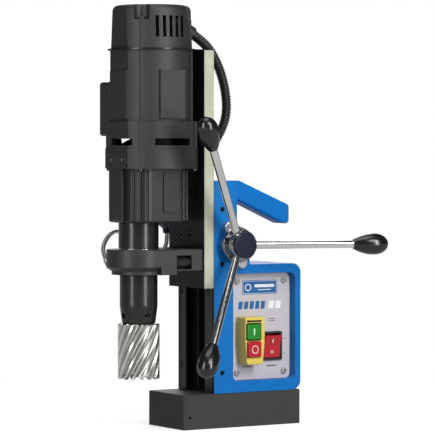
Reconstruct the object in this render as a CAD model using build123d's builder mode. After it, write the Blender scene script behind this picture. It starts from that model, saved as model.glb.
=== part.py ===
from build123d import *
from math import cos, pi, radians, sin, tan
import os

# Magnetic drill press, millimetres. +Z is up, the origin is the centre of the magnet's
# underside, the spindle side is -Y and the feed capstan is on +X.

# ---------------------------------------------------------------- driving dimensions
BASE_WIDTH = 80.0
BASE_LENGTH = 160.0
BASE_HEIGHT = 40.0
POLE_WIDTH = 24.0
POLE_LENGTH = 104.0
COIL_WINDOW = 18.0
COIL_DEPTH = 28.0
POTTING_DEPTH = 5.0
POTTING_RECESS = 0.4

COLUMN_FACE_Y = -39.0
COLUMN_TOP_Z = 285.0
MAST_BACK_Y = -8.0
HOUSING_WALL = 5.0
BOX_BACK_Y = 80.0
BOX_TOP_Z = 188.0
BOX_CORNER = 11.0

PINION_Y = -13.7
PINION_Z = 211.3
PINION_BOSS = 23.0
GEAR_MODULE = 1.5
PINION_TEETH = 12
PINION_PITCH_R = GEAR_MODULE * PINION_TEETH / 2
MESH_CLEARANCE = 0.2
FEED_SHAFT_R = 6.0
BUSH_R = 11.0
RUNNING_CLEARANCE = 0.04

PANEL_X = 29.0
PANEL_THICK = 1.7
RECESS_Y0, RECESS_Y1 = -13.0, 72.5
RECESS_Z0, RECESS_Z1 = 53.0, 177.5
RECESS_CORNER = 7.0
PANEL_SCREW_Y, PANEL_SCREW_Z = 30.7, 115.0
PANEL_SCREW_DY, PANEL_SCREW_DZ = 64.5, 106.5

SLIDE_X = -2.0
SLIDE_FACE_HALF = 21.0
SLIDE_FLARE = 5.0
SLIDE_DEPTH = 10.0
SLIDE_GAP = 0.3
GUIDE_HALF = 35.0
GUIDE_BACK_Y = -16.5
RACK_WIDTH = 14.0
RACK_Z0, RACK_TEETH_COUNT = 161.8, 38

CARRIAGE_THICK = 12.7
CARRIAGE_Z0, CARRIAGE_Z1 = 161.5, 434.5
CARRIAGE_BACK_Y = COLUMN_FACE_Y - SLIDE_GAP
CARRIAGE_FRONT_Y = CARRIAGE_BACK_Y - CARRIAGE_THICK

MOTOR_Y = -98.7
SPINDLE_Y = -116.1
GEARBOX_Y = -101.9
GEARBOX_SIDE = 75.0
GEARBOX_Z0, GEARBOX_Z1 = 237.2, 299.2
FLANGE_R, FLANGE_FLAT = 53.3, 46.7
FLANGE_Z1 = 353.0
BODY_R, BODY_FLAT = 47.5, 43.0
BODY_Z1 = 434.5
STAY_THICK = 1.5
CAP_R = 46.5
CAP_Z1 = 485.7
CAP_LEDGE_Z = 468.3
CAP_SCREW = 30.2
CAP_RECESS = 31.0
FLANGE_SCREW = 35.8

BRACKET_HALF = 37.0
BRACKET_Z0, BRACKET_Z1 = 178.0, 207.0
QUILL_R = 23.0
BEARING_R = 20.0
SPINDLE_R = 10.0
ARBOR_R, ARBOR_TIP_R = 21.75, 19.3
ARBOR_Z0, ARBOR_Z1 = 122.0, 177.5
ARBOR_TAPER_Z = 142.0
WELDON_R = 9.525
CUTTER_R = 24.0
CUTTER_Z0, CUTTER_Z1 = 58.0, 121.7
CUTTER_TEETH = 14

INTER_X, INTER_Y = 18.2, -102.0
ARMATURE_PINION_R, INTER_GEAR_R = 5.0, 13.5
INTER_PINION_R, SPINDLE_GEAR_R = 5.0, 18.0
ARMATURE_SHAFT_R = 5.0
GEAR_PIN_R = 2.5

HUB_X = 55.0
HUB_X0, HUB_X1, HUB_CAP_X1 = 50.0, 65.5, 69.0
SPOKE_CONE = 19.4
SPOKE_R = 4.5
KNOB_LENGTH = 41.5
SPOKE_REACH = 176.6

BOTTLE_X, BOTTLE_Y, BOTTLE_R = -68.0, -38.0, 24.0
BOTTLE_TIP_Z, BOTTLE_SHOULDER_Z, BOTTLE_Z1 = 222.0, 242.0, 352.0

HOSE_D = 12.0
HOSE_ROUTE = [
    (0, -44, 454.5),
    (0, -31, 447),
    (-0.5, -17.3, 434),
    (-1, -5, 412.5),
    (-2.2, 3, 387),
    (-4.2, 5.5, 364),
    (-8.2, 2, 346),
    (-13.2, -5, 330.5),
    (-16.6, -12, 315.5),
    (-18, -15.5, 301),
    (-18, -15.5, 289),
]
TUBE_D = 5.0
TUBE_ROUTE = [
    (-68, -38, 222),
    (-68, -38, 210),
    (-68, -43, 201.5),
    (-67.6, -51, 196.5),
    (-66.5, -62, 196),
    (-64, -76, 201.5),
    (-60.5, -91, 215),
    (-58, -106, 226.5),
    (-54, -121, 225),
    (-47, -135, 214),
    (-40.3, -140.7, 202),
    (-34.1, -139.7, 194.2),
]

os.makedirs("parts", exist_ok=True)


def save(builder, label):
    """Label a finished sub-part and write its STEP file."""
    builder.part.label = label
    export_step(builder.part, f"parts/{label}.step")


def gear_profile(teeth, outer_r, depth):
    """Draw a straight-flanked gear outline in the current sketch."""
    Circle(outer_r)
    with PolarLocations(outer_r, teeth):
        Rectangle(2 * depth, pi * outer_r / teeth * 0.95, mode=Mode.SUBTRACT)


# ---------------------------------------------------------------- magnet
with BuildPart() as magnet_base:
    with BuildSketch(Plane.XY) as outline:
        Rectangle(BASE_WIDTH, BASE_LENGTH)
        fillet(outline.vertices(), radius=2.5)
    extrude(amount=BASE_HEIGHT)
    chamfer(magnet_base.faces().sort_by(Axis.Z)[-1].edges(), length=0.8)
    with BuildSketch(Plane.XY):
        Rectangle(POLE_WIDTH + 2 * COIL_WINDOW, POLE_LENGTH + 2 * COIL_WINDOW)
        Rectangle(POLE_WIDTH, POLE_LENGTH, mode=Mode.SUBTRACT)
    extrude(amount=COIL_DEPTH, mode=Mode.SUBTRACT)
    with Locations((0, 30, BASE_HEIGHT), (0, 60, BASE_HEIGHT)):
        Hole(radius=3.4, depth=10)
    with Locations(Plane.YZ.offset(BASE_WIDTH / 2)):
        with Locations((-71.5, 14.0)):
            Hole(radius=1.8, depth=4)
save(magnet_base, "magnet_base")

with BuildPart() as magnet_coil:
    with BuildSketch(Plane.XY.offset(POTTING_DEPTH + POTTING_RECESS)):
        Rectangle(POLE_WIDTH + 2 * COIL_WINDOW, POLE_LENGTH + 2 * COIL_WINDOW)
        Rectangle(POLE_WIDTH, POLE_LENGTH, mode=Mode.SUBTRACT)
    extrude(amount=COIL_DEPTH - POTTING_DEPTH - POTTING_RECESS)
save(magnet_coil, "magnet_coil")

with BuildPart() as coil_potting:
    with BuildSketch(Plane.XY.offset(POTTING_RECESS)):
        Rectangle(POLE_WIDTH + 2 * COIL_WINDOW, POLE_LENGTH + 2 * COIL_WINDOW)
        Rectangle(POLE_WIDTH, POLE_LENGTH, mode=Mode.SUBTRACT)
    extrude(amount=POTTING_DEPTH)
save(coil_potting, "coil_potting")

# ---------------------------------------------------------------- fixed column
SIDE_X = BASE_WIDTH / 2
SIDE_FACE = Plane.YZ.offset(SIDE_X)

with BuildPart() as housing:
    with BuildSketch(Plane.YZ) as outline:
        Polygon(
            (COLUMN_FACE_Y, BASE_HEIGHT),
            (BOX_BACK_Y, BASE_HEIGHT),
            (BOX_BACK_Y, BOX_TOP_Z),
            (PINION_Y + PINION_BOSS, BOX_TOP_Z),
            (PINION_Y + PINION_BOSS, PINION_Z),
            (MAST_BACK_Y, PINION_Z),
            (MAST_BACK_Y, COLUMN_TOP_Z),
            (COLUMN_FACE_Y, COLUMN_TOP_Z),
            align=None,
        )
        with Locations((PINION_Y, PINION_Z)):
            Circle(PINION_BOSS)
        fillet(outline.vertices().group_by(Axis.X)[-1], radius=BOX_CORNER)
    extrude(amount=SIDE_X, both=True)
    with BuildSketch(SIDE_FACE) as recess:
        with Locations(((RECESS_Y0 + RECESS_Y1) / 2, (RECESS_Z0 + RECESS_Z1) / 2)):
            Rectangle(RECESS_Y1 - RECESS_Y0, RECESS_Z1 - RECESS_Z0)
        fillet(recess.vertices(), radius=RECESS_CORNER)
    extrude(amount=-(SIDE_X - PANEL_X + PANEL_THICK), mode=Mode.SUBTRACT)
    with Locations((-3.5, 31, 114.5)):
        Box(63, 76, 120, mode=Mode.SUBTRACT)
    with BuildSketch(Plane.XY.offset(BASE_HEIGHT)):
        with Locations((0, (COLUMN_FACE_Y + GUIDE_BACK_Y) / 2)):
            Rectangle(2 * GUIDE_HALF, GUIDE_BACK_Y - COLUMN_FACE_Y)
    extrude(amount=COLUMN_TOP_Z - BASE_HEIGHT, mode=Mode.SUBTRACT)
    with BuildSketch(Plane.YZ.offset(-30)):
        with Locations((PINION_Y, PINION_Z)):
            Circle(BUSH_R)
    extrude(amount=75, mode=Mode.SUBTRACT)
    with BuildSketch(Plane.YZ.offset(-35)):
        with Locations((PINION_Y, PINION_Z)):
            Circle(FEED_SHAFT_R + RUNNING_CLEARANCE)
    extrude(amount=10, mode=Mode.SUBTRACT)
    with Locations((-18, -12.25, 240)):
        Cylinder(2.5, 100, mode=Mode.SUBTRACT)
    with BuildSketch(Plane.YZ.offset(25)):
        with Locations((-28, 63.5), (-28, 189), (-28, 252)):
            Circle(3)
    extrude(amount=20, mode=Mode.SUBTRACT)
    with BuildSketch(Plane.XZ.offset(-BOX_BACK_Y)):
        with Locations((-14, 74)):
            Circle(8)
    extrude(amount=15, mode=Mode.SUBTRACT)
    with BuildSketch(Plane.XY.offset(BASE_HEIGHT)):
        with Locations((0, 30), (0, 60)):
            Circle(4)
    extrude(amount=20, mode=Mode.SUBTRACT)
save(housing, "housing")

SLIDE_SLOPE = SLIDE_FLARE / SLIDE_DEPTH
SLOT_LEFT = SLIDE_X - SLIDE_FACE_HALF
SLOT_RIGHT = SLIDE_X + SLIDE_FACE_HALF
GIB_BACK_Y = COLUMN_FACE_Y + SLIDE_DEPTH
GUIDE_Z1 = COLUMN_TOP_Z
RACK_SLOT_BACK_Y = -20.0
GIB_SCREW_ZS = (70.0, 156.0, 242.0)

# The guide is a steel block behind the two gib strips, with a slot for the rack.
with BuildPart() as guide_block:
    with BuildSketch(Plane.XY.offset(BASE_HEIGHT)):
        with Locations((0, (GIB_BACK_Y + GUIDE_BACK_Y) / 2)):
            Rectangle(2 * GUIDE_HALF, GUIDE_BACK_Y - GIB_BACK_Y)
        with Locations((SLIDE_X, (GIB_BACK_Y + RACK_SLOT_BACK_Y) / 2)):
            Rectangle(
                RACK_WIDTH + 3,
                RACK_SLOT_BACK_Y - GIB_BACK_Y,
                mode=Mode.SUBTRACT,
            )
    extrude(amount=GUIDE_Z1 - BASE_HEIGHT)
    with BuildSketch(Plane.YZ.offset(-GUIDE_HALF)):
        with Locations((PINION_Y, PINION_Z)):
            Circle(BUSH_R)
    extrude(amount=2 * GUIDE_HALF, mode=Mode.SUBTRACT)
    with BuildSketch(Plane.XZ.offset(-GIB_BACK_Y)):
        with Locations(*[(x, z) for x in (-31, 28) for z in GIB_SCREW_ZS]):
            Circle(2.0)
    extrude(amount=-10, mode=Mode.SUBTRACT)
save(guide_block, "guide_block")


def gib_strip(outer_x, face_x, side, label, screw_x):
    """Make one dovetail strip; side is +1 on the right of the slot, -1 on the left."""
    with BuildPart() as strip:
        with BuildSketch(Plane.XY.offset(BASE_HEIGHT)):
            Polygon(
                (outer_x, COLUMN_FACE_Y + 0.2),
                (face_x, COLUMN_FACE_Y + 0.2),
                (face_x + side * SLIDE_FLARE, GIB_BACK_Y),
                (outer_x, GIB_BACK_Y),
                align=None,
            )
        extrude(amount=GUIDE_Z1 - BASE_HEIGHT)
        with BuildSketch(Plane.XZ.offset(-COLUMN_FACE_Y)):
            with Locations(*[(screw_x, z) for z in GIB_SCREW_ZS]):
                Circle(2.25)
        extrude(amount=-12, mode=Mode.SUBTRACT)
        with BuildSketch(Plane.XZ.offset(-COLUMN_FACE_Y)):
            with Locations(*[(screw_x, z) for z in GIB_SCREW_ZS]):
                Circle(4.1)
        extrude(amount=-4.6, mode=Mode.SUBTRACT)
    save(strip, label)


gib_strip(-GUIDE_HALF, SLOT_LEFT, -1, "gib_strip_left", -31)
gib_strip(GUIDE_HALF, SLOT_RIGHT, 1, "gib_strip_right", 28)


def socket_screw(head_r, head_h, shank_r, shank_l, hex_r):
    """Return a socket cap screw with its head seat at the origin and its head along +Z."""
    with BuildPart() as screw:
        Cylinder(head_r, head_h, align=(Align.CENTER, Align.CENTER, Align.MIN))
        chamfer(screw.edges().sort_by(Axis.Z)[-1], length=0.1 * head_r)
        Cylinder(shank_r, shank_l, align=(Align.CENTER, Align.CENTER, Align.MAX))
        with BuildSketch(Plane.XY.offset(head_h)):
            RegularPolygon(hex_r, 6)
        extrude(amount=-0.55 * head_h, mode=Mode.SUBTRACT)
    return screw.part


def placed_copies(shape, planes, label):
    """Write one sub-part that holds a copy of the shape on each plane."""
    with BuildPart() as copies:
        with Locations(*[Location(plane) for plane in planes]):
            add(shape)
    save(copies, label)


GIB_SEAT_Y = COLUMN_FACE_Y + 4.6
placed_copies(
    socket_screw(3.9, 4.0, 2.0, 14.0, 1.6),
    [
        Plane(origin=(x, GIB_SEAT_Y, z), x_dir=(1, 0, 0), z_dir=(0, -1, 0))
        for x in (-31, 28)
        for z in GIB_SCREW_ZS
    ],
    "gib_screws",
)

with BuildPart() as gib_adjust_screws:
    with BuildSketch(Plane.YZ.offset(39.2)):
        with Locations((-28, 63.5), (-28, 189), (-28, 252)):
            Circle(2.95)
            RegularPolygon(1.6, 6, mode=Mode.SUBTRACT)
    extrude(amount=-3)
    with BuildSketch(Plane.YZ.offset(36.2)):
        with Locations((-28, 63.5), (-28, 189), (-28, 252)):
            Circle(2.95)
    extrude(amount=-1.2)
save(gib_adjust_screws, "gib_adjust_screws")

BOX_FLOOR_Z = 54.5
placed_copies(
    socket_screw(6.0, 6.0, 3.3, BOX_FLOOR_Z - BASE_HEIGHT + 9, 2.6),
    [Plane(origin=(0, y, BOX_FLOOR_Z), z_dir=(0, 0, 1)) for y in (30, 60)],
    "base_bolts",
)

# The carrying handle leaves the back of the mast level and then slopes down.
HANDLE_HALF = 12.0
with BuildPart() as carry_handle:
    with BuildSketch(Plane.YZ) as outline:
        Polygon(
            (MAST_BACK_Y, COLUMN_TOP_Z),
            (14.0, COLUMN_TOP_Z),
            (83.6, 255.8),
            (83.6, 233.4),
            (73.0, 234.2),
            (13.5, 260.4),
            (MAST_BACK_Y, 262.4),
            align=None,
        )
        fillet(outline.vertices().sort_by(Axis.X)[2:4], radius=9)
        fillet(outline.vertices().sort_by(Axis.X)[-2:], radius=4.5)
    extrude(amount=HANDLE_HALF, both=True)
    long_edges = carry_handle.edges().filter_by(
        lambda e: abs(abs(e.center().X) - HANDLE_HALF) < 0.01
        and e.center().Y > MAST_BACK_Y + 1
    )
    fillet(long_edges, radius=4)
save(carry_handle, "carry_handle")

# ---------------------------------------------------------------- control box
with BuildPart() as control_panel:
    with BuildSketch(Plane.YZ.offset(PANEL_X)) as plate:
        with Locations(((RECESS_Y0 + RECESS_Y1) / 2, (RECESS_Z0 + RECESS_Z1) / 2)):
            Rectangle(RECESS_Y1 - RECESS_Y0 - 0.6, RECESS_Z1 - RECESS_Z0 - 0.6)
        fillet(plate.vertices(), radius=RECESS_CORNER - 0.3)
    extrude(amount=-PANEL_THICK)
    with BuildSketch(Plane.YZ.offset(PANEL_X)):
        with Locations((10, 100)):
            Rectangle(16, 40)
        with Locations((46.5, 91.5)):
            Rectangle(25, 31)
        with Locations((PANEL_SCREW_Y, PANEL_SCREW_Z)):
            with GridLocations(PANEL_SCREW_DY, PANEL_SCREW_DZ, 2, 2):
                Circle(1.65)
    extrude(amount=-PANEL_THICK, mode=Mode.SUBTRACT)
save(control_panel, "control_panel")

placed_copies(
    socket_screw(3.4, 2.4, 1.6, 1.7, 1.3),
    [
        Plane(origin=(PANEL_X, PANEL_SCREW_Y + y, PANEL_SCREW_Z + z), z_dir=(1, 0, 0))
        for y in (-PANEL_SCREW_DY / 2, PANEL_SCREW_DY / 2)
        for z in (-PANEL_SCREW_DZ / 2, PANEL_SCREW_DZ / 2)
    ],
    "panel_screws",
)

SWITCH_X1 = 48.0
BUTTON_Y = 9.8
START_Z, STOP_Z = 110.2, 89.8
BUTTON_SIZE = 18.0
with BuildPart() as switch_housing:
    with BuildSketch(Plane.YZ.offset(PANEL_X)) as outline:
        Polygon((-1.5, 127), (25.5, 127), (25.5, 97), (23.0, 72), (1.0, 72), (-1.5, 97), align=None)
        fillet(outline.vertices(), radius=2)
    extrude(amount=SWITCH_X1 - PANEL_X)
    fillet(switch_housing.faces().sort_by(Axis.X)[-1].edges(), radius=1.5)
    with BuildSketch(Plane.YZ.offset(SWITCH_X1)) as wells:
        with Locations((BUTTON_Y, START_Z), (BUTTON_Y, STOP_Z)):
            RectangleRounded(BUTTON_SIZE + 0.8, BUTTON_SIZE + 0.8, 2)
    extrude(amount=-9, mode=Mode.SUBTRACT)
save(switch_housing, "switch_housing")

def push_button(center_z, proud, label):
    """Make one push button that travels along X in its well."""
    with BuildPart() as button:
        with BuildSketch(Plane.YZ.offset(SWITCH_X1 - 5)):
            with Locations((BUTTON_Y, center_z)):
                RectangleRounded(BUTTON_SIZE, BUTTON_SIZE, 1.6)
        extrude(amount=5 + proud)
        fillet(button.faces().sort_by(Axis.X)[-1].edges(), radius=1.2)
    save(button, label)


push_button(START_Z, 1.6, "start_button")
push_button(STOP_Z, 3.4, "stop_button")

ROCKER_Y, ROCKER_Z = 46.5, 91.5
BEZEL_INNER_Y, BEZEL_INNER_Z = 23.0, 29.2
BEZEL_BODY_Y, BEZEL_BODY_Z = 25.0, 31.0
with BuildPart() as rocker_bezel:
    with BuildSketch(Plane.YZ.offset(PANEL_X)):
        with Locations((ROCKER_Y, ROCKER_Z)):
            RectangleRounded(27.5, 34, 2)
            Rectangle(BEZEL_INNER_Y, BEZEL_INNER_Z, mode=Mode.SUBTRACT)
    extrude(amount=2)
    with BuildSketch(Plane.YZ.offset(PANEL_X)):
        with Locations((ROCKER_Y, ROCKER_Z)):
            Rectangle(BEZEL_BODY_Y, BEZEL_BODY_Z)
            Rectangle(BEZEL_INNER_Y, BEZEL_INNER_Z, mode=Mode.SUBTRACT)
    extrude(amount=-14)
    with BuildSketch(Plane.YZ.offset(PANEL_X - 14)):
        with Locations((ROCKER_Y, ROCKER_Z)):
            Rectangle(BEZEL_BODY_Y, BEZEL_BODY_Z)
    extrude(amount=-2)
save(rocker_bezel, "rocker_bezel")

# The rocker is drawn level and then tipped, so that its upper half stands proud.
ROCKER_TIP = 10.0
ROCKER_PIVOT_X = PANEL_X - 1.0
with BuildPart() as rocker_switch:
    with BuildSketch(Plane.XZ.offset(-ROCKER_Y)):
        with Locations(Location((ROCKER_PIVOT_X, ROCKER_Z), -ROCKER_TIP)):
            Polygon(
                (-4.5, -4),
                (0, -13.0),
                (4.2, -13.2),
                (2.8, 0),
                (4.2, 13.2),
                (0, 13.0),
                (-4.5, 4),
                align=None,
            )
    extrude(amount=11, both=True)
save(rocker_switch, "rocker_switch")

with BuildPart() as circuit_board:
    with Locations((-20, 31, 118)):
        Box(1.6, 66, 92)
    with Locations((-13.2, 14, 140)):
        Box(12, 20, 26)
    with Locations((-9.2, 48, 138)):
        Cylinder(10, 20, rotation=(0, 90, 0))
    with Locations((-14.2, 34, 92)):
        Box(10, 40, 20)
    with Locations((-27.9, 31, 118)):
        Box(14.2, 10, 10)
save(circuit_board, "circuit_board")

with BuildPart() as mains_gland:
    with BuildSketch(Plane.XZ.offset(-BOX_BACK_Y)):
        with Locations((-14, 74)):
            Circle(8)
            Circle(4, mode=Mode.SUBTRACT)
    extrude(amount=12)
    with BuildSketch(Plane.XZ.offset(-BOX_BACK_Y)):
        with Locations((-14, 74)):
            RegularPolygon(11, 6)
            Circle(4, mode=Mode.SUBTRACT)
    extrude(amount=-9)
save(mains_gland, "mains_gland")

with BuildPart() as conduit_gland_lower:
    with BuildSketch(Plane.XY.offset(COLUMN_TOP_Z)):
        with Locations((-18, -15.5)):
            RegularPolygon(7.3, 6)
    extrude(amount=4)
save(conduit_gland_lower, "conduit_gland_lower")

# ---------------------------------------------------------------- feed capstan
EAR_TILT = 22.0
EAR_REACH = 22.2
EAR_X1 = SIDE_X + 9
with BuildPart() as pinion_bush:
    with BuildSketch(SIDE_FACE) as ears:
        with Locations((PINION_Y, PINION_Z)):
            with Locations(Location((0, 0, 0), (0, 0, 90 + EAR_TILT))):
                SlotCenterToCenter(2 * EAR_REACH, 13.4)
                Circle(16)
    extrude(amount=EAR_X1 - SIDE_X)
    fillet(pinion_bush.faces().sort_by(Axis.X)[-1].edges(), radius=1.5)
    with BuildSketch(SIDE_FACE):
        with Locations((PINION_Y, PINION_Z)):
            Circle(BUSH_R)
    extrude(amount=-20)
    with BuildSketch(SIDE_FACE):
        with Locations((PINION_Y, PINION_Z)):
            Circle(FEED_SHAFT_R + RUNNING_CLEARANCE)
    extrude(amount=30, both=True, mode=Mode.SUBTRACT)
save(pinion_bush, "pinion_bush")

with BuildPart() as pinion_shaft:
    with BuildSketch(Plane.YZ.offset(-34.5)):
        with Locations((PINION_Y, PINION_Z)):
            Circle(FEED_SHAFT_R)
    extrude(amount=62 + 34.5)
    with BuildSketch(Plane.YZ.offset(SLIDE_X - RACK_WIDTH / 2 - 1)):
        with Locations((PINION_Y, PINION_Z)):
            gear_profile(PINION_TEETH, PINION_PITCH_R - MESH_CLEARANCE, 1.6)
    extrude(amount=RACK_WIDTH + 2)
save(pinion_shaft, "pinion_shaft")


def spoke_plane(index, reach):
    """Return a plane whose +Z runs out along one spoke, at a distance from the hub's axis."""
    angle = radians(120 * index)
    cone = radians(SPOKE_CONE)
    way = (sin(cone), cos(cone) * cos(angle), cos(cone) * sin(angle))
    origin = (HUB_X + reach * way[0], PINION_Y + reach * way[1], PINION_Z + reach * way[2])
    return Plane(origin=origin, x_dir=(0, -sin(angle), cos(angle)), z_dir=way)


SPOKE_ROOT = 12.0
KNOB_BORE = 12.0
KNOB_START = SPOKE_REACH - KNOB_LENGTH
with BuildPart() as hub:
    with BuildSketch(Plane.YZ.offset(HUB_X0)):
        with Locations((PINION_Y, PINION_Z)):
            Circle(20.5)
    extrude(amount=3.5)
    chamfer(hub.edges().group_by(Axis.X)[-1], length=0.6)
    with BuildSketch(Plane.YZ.offset(HUB_X0 + 3)):
        with Locations((PINION_Y, PINION_Z)):
            Circle(17)
    extrude(amount=HUB_X1 - HUB_X0 - 3)
    chamfer(hub.edges().group_by(Axis.X)[-1], length=1.2)
    with BuildSketch(Plane.YZ.offset(HUB_X0)):
        with Locations((PINION_Y, PINION_Z)):
            Circle(FEED_SHAFT_R)
    extrude(amount=12, mode=Mode.SUBTRACT)
    for i in range(3):
        with BuildSketch(spoke_plane(i, SPOKE_ROOT)):
            Circle(SPOKE_R)
        extrude(amount=20, mode=Mode.SUBTRACT)
save(hub, "hub")

with BuildPart() as hub_cap:
    with BuildSketch(Plane.YZ.offset(HUB_X1)):
        with Locations((PINION_Y, PINION_Z)):
            Circle(15)
    extrude(amount=HUB_CAP_X1 - HUB_X1)
    fillet(hub_cap.edges().group_by(Axis.X)[-1], radius=1.5)
save(hub_cap, "hub_cap")

with BuildPart() as spokes:
    for i in range(3):
        with BuildSketch(spoke_plane(i, SPOKE_ROOT)):
            Circle(SPOKE_R)
        extrude(amount=KNOB_START + KNOB_BORE - SPOKE_ROOT)
save(spokes, "spokes")

with BuildPart() as knob:
    with BuildSketch(Plane.XZ):
        with BuildLine():
            Polyline((SPOKE_R, 0), (6.0, 0), (6.4, 1.0))
            Spline((6.4, 1.0), (9.4, 8), (11.8, 17), (12.3, 25), (10.4, 34), (6.2, 39.4), (0, KNOB_LENGTH))
            Polyline((0, KNOB_LENGTH), (0, KNOB_BORE), (SPOKE_R, KNOB_BORE), (SPOKE_R, 0))
        make_face()
    revolve(axis=Axis.Z)
placed_copies(knob.part, [spoke_plane(i, KNOB_START) for i in range(3)], "knobs")

# ---------------------------------------------------------------- carriage
CARRIAGE_HEIGHT = CARRIAGE_Z1 - CARRIAGE_Z0
BRACKET_BOLT_X, BRACKET_BOLT_Z = 29.5, 192.0
SLIDE_SCREW_XS = (-13.0, 9.0)
SLIDE_SCREW_ZS = (222.0, 275.0, 345.0, 410.0)
with BuildPart() as carriage_plate:
    with Locations((0, CARRIAGE_BACK_Y - CARRIAGE_THICK / 2, (CARRIAGE_Z0 + CARRIAGE_Z1) / 2)):
        Box(2 * SIDE_X, CARRIAGE_THICK, CARRIAGE_HEIGHT)
    chamfer(carriage_plate.edges().filter_by(Axis.Z), length=0.6)
    with BuildSketch(Plane.XZ.offset(-CARRIAGE_FRONT_Y)):
        with Locations(*[(x, z) for x in SLIDE_SCREW_XS for z in SLIDE_SCREW_ZS]):
            Circle(5.1)
    extrude(amount=-6.5, mode=Mode.SUBTRACT)
    with BuildSketch(Plane.XZ.offset(-CARRIAGE_FRONT_Y)):
        with Locations(*[(x, z) for x in SLIDE_SCREW_XS for z in SLIDE_SCREW_ZS]):
            Circle(3.05)
    extrude(amount=-20, mode=Mode.SUBTRACT)
    with BuildSketch(Plane.XZ.offset(-CARRIAGE_FRONT_Y)):
        with Locations((-BRACKET_BOLT_X, BRACKET_BOLT_Z), (BRACKET_BOLT_X, BRACKET_BOLT_Z)):
            Circle(4.0)
    extrude(amount=-11, mode=Mode.SUBTRACT)
save(carriage_plate, "carriage_plate")

MALE_HALF = SLIDE_FACE_HALF - 0.45
MALE_BACK_Y = GIB_BACK_Y - SLIDE_GAP
with BuildPart() as dovetail_slide:
    with BuildSketch(Plane.XY.offset(CARRIAGE_Z0)):
        Polygon(
            (SLIDE_X - MALE_HALF, CARRIAGE_BACK_Y),
            (SLIDE_X + MALE_HALF, CARRIAGE_BACK_Y),
            (SLIDE_X + MALE_HALF + SLIDE_FLARE, MALE_BACK_Y),
            (SLIDE_X - MALE_HALF - SLIDE_FLARE, MALE_BACK_Y),
            align=None,
        )
    extrude(amount=CARRIAGE_HEIGHT)
    with BuildSketch(Plane.XZ.offset(-CARRIAGE_BACK_Y)):
        with Locations(*[(x, z) for x in SLIDE_SCREW_XS for z in SLIDE_SCREW_ZS]):
            Circle(3.05)
    extrude(amount=-8, mode=Mode.SUBTRACT)
save(dovetail_slide, "dovetail_slide")

placed_copies(
    socket_screw(5.0, 6.0, 3.0, 13.0, 2.5),
    [
        Plane(origin=(x, CARRIAGE_FRONT_Y + 6.5, z), x_dir=(1, 0, 0), z_dir=(0, -1, 0))
        for x in SLIDE_SCREW_XS
        for z in SLIDE_SCREW_ZS
    ],
    "slide_screws",
)

RACK_PITCH = pi * GEAR_MODULE
RACK_TIP_Y = PINION_Y - PINION_PITCH_R - MESH_CLEARANCE
with BuildPart() as feed_rack:
    with BuildSketch(Plane.YZ.offset(SLIDE_X)):
        Polygon(
            (MALE_BACK_Y, RACK_Z0),
            (RACK_TIP_Y, RACK_Z0),
            (RACK_TIP_Y, RACK_Z0 + RACK_TEETH_COUNT * RACK_PITCH),
            (MALE_BACK_Y, RACK_Z0 + RACK_TEETH_COUNT * RACK_PITCH),
            align=None,
        )
        for i in range(RACK_TEETH_COUNT):
            with Locations((RACK_TIP_Y, RACK_Z0 + (i + 0.5) * RACK_PITCH)):
                Rectangle(5.0, RACK_PITCH * 0.52, mode=Mode.SUBTRACT)
    extrude(amount=RACK_WIDTH / 2, both=True)
save(feed_rack, "feed_rack")

POCKET_Y0, POCKET_Y1 = -86.5, -66.6
BRACKET_LIP_Z, BRACKET_SKIRT_Z = 182.5, 187.0
BRACKET_LIP_R = 31.0
BRACKET_BLOCK_Y = -87.0
BRACKET_CHEEK_Y = -107.5


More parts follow.
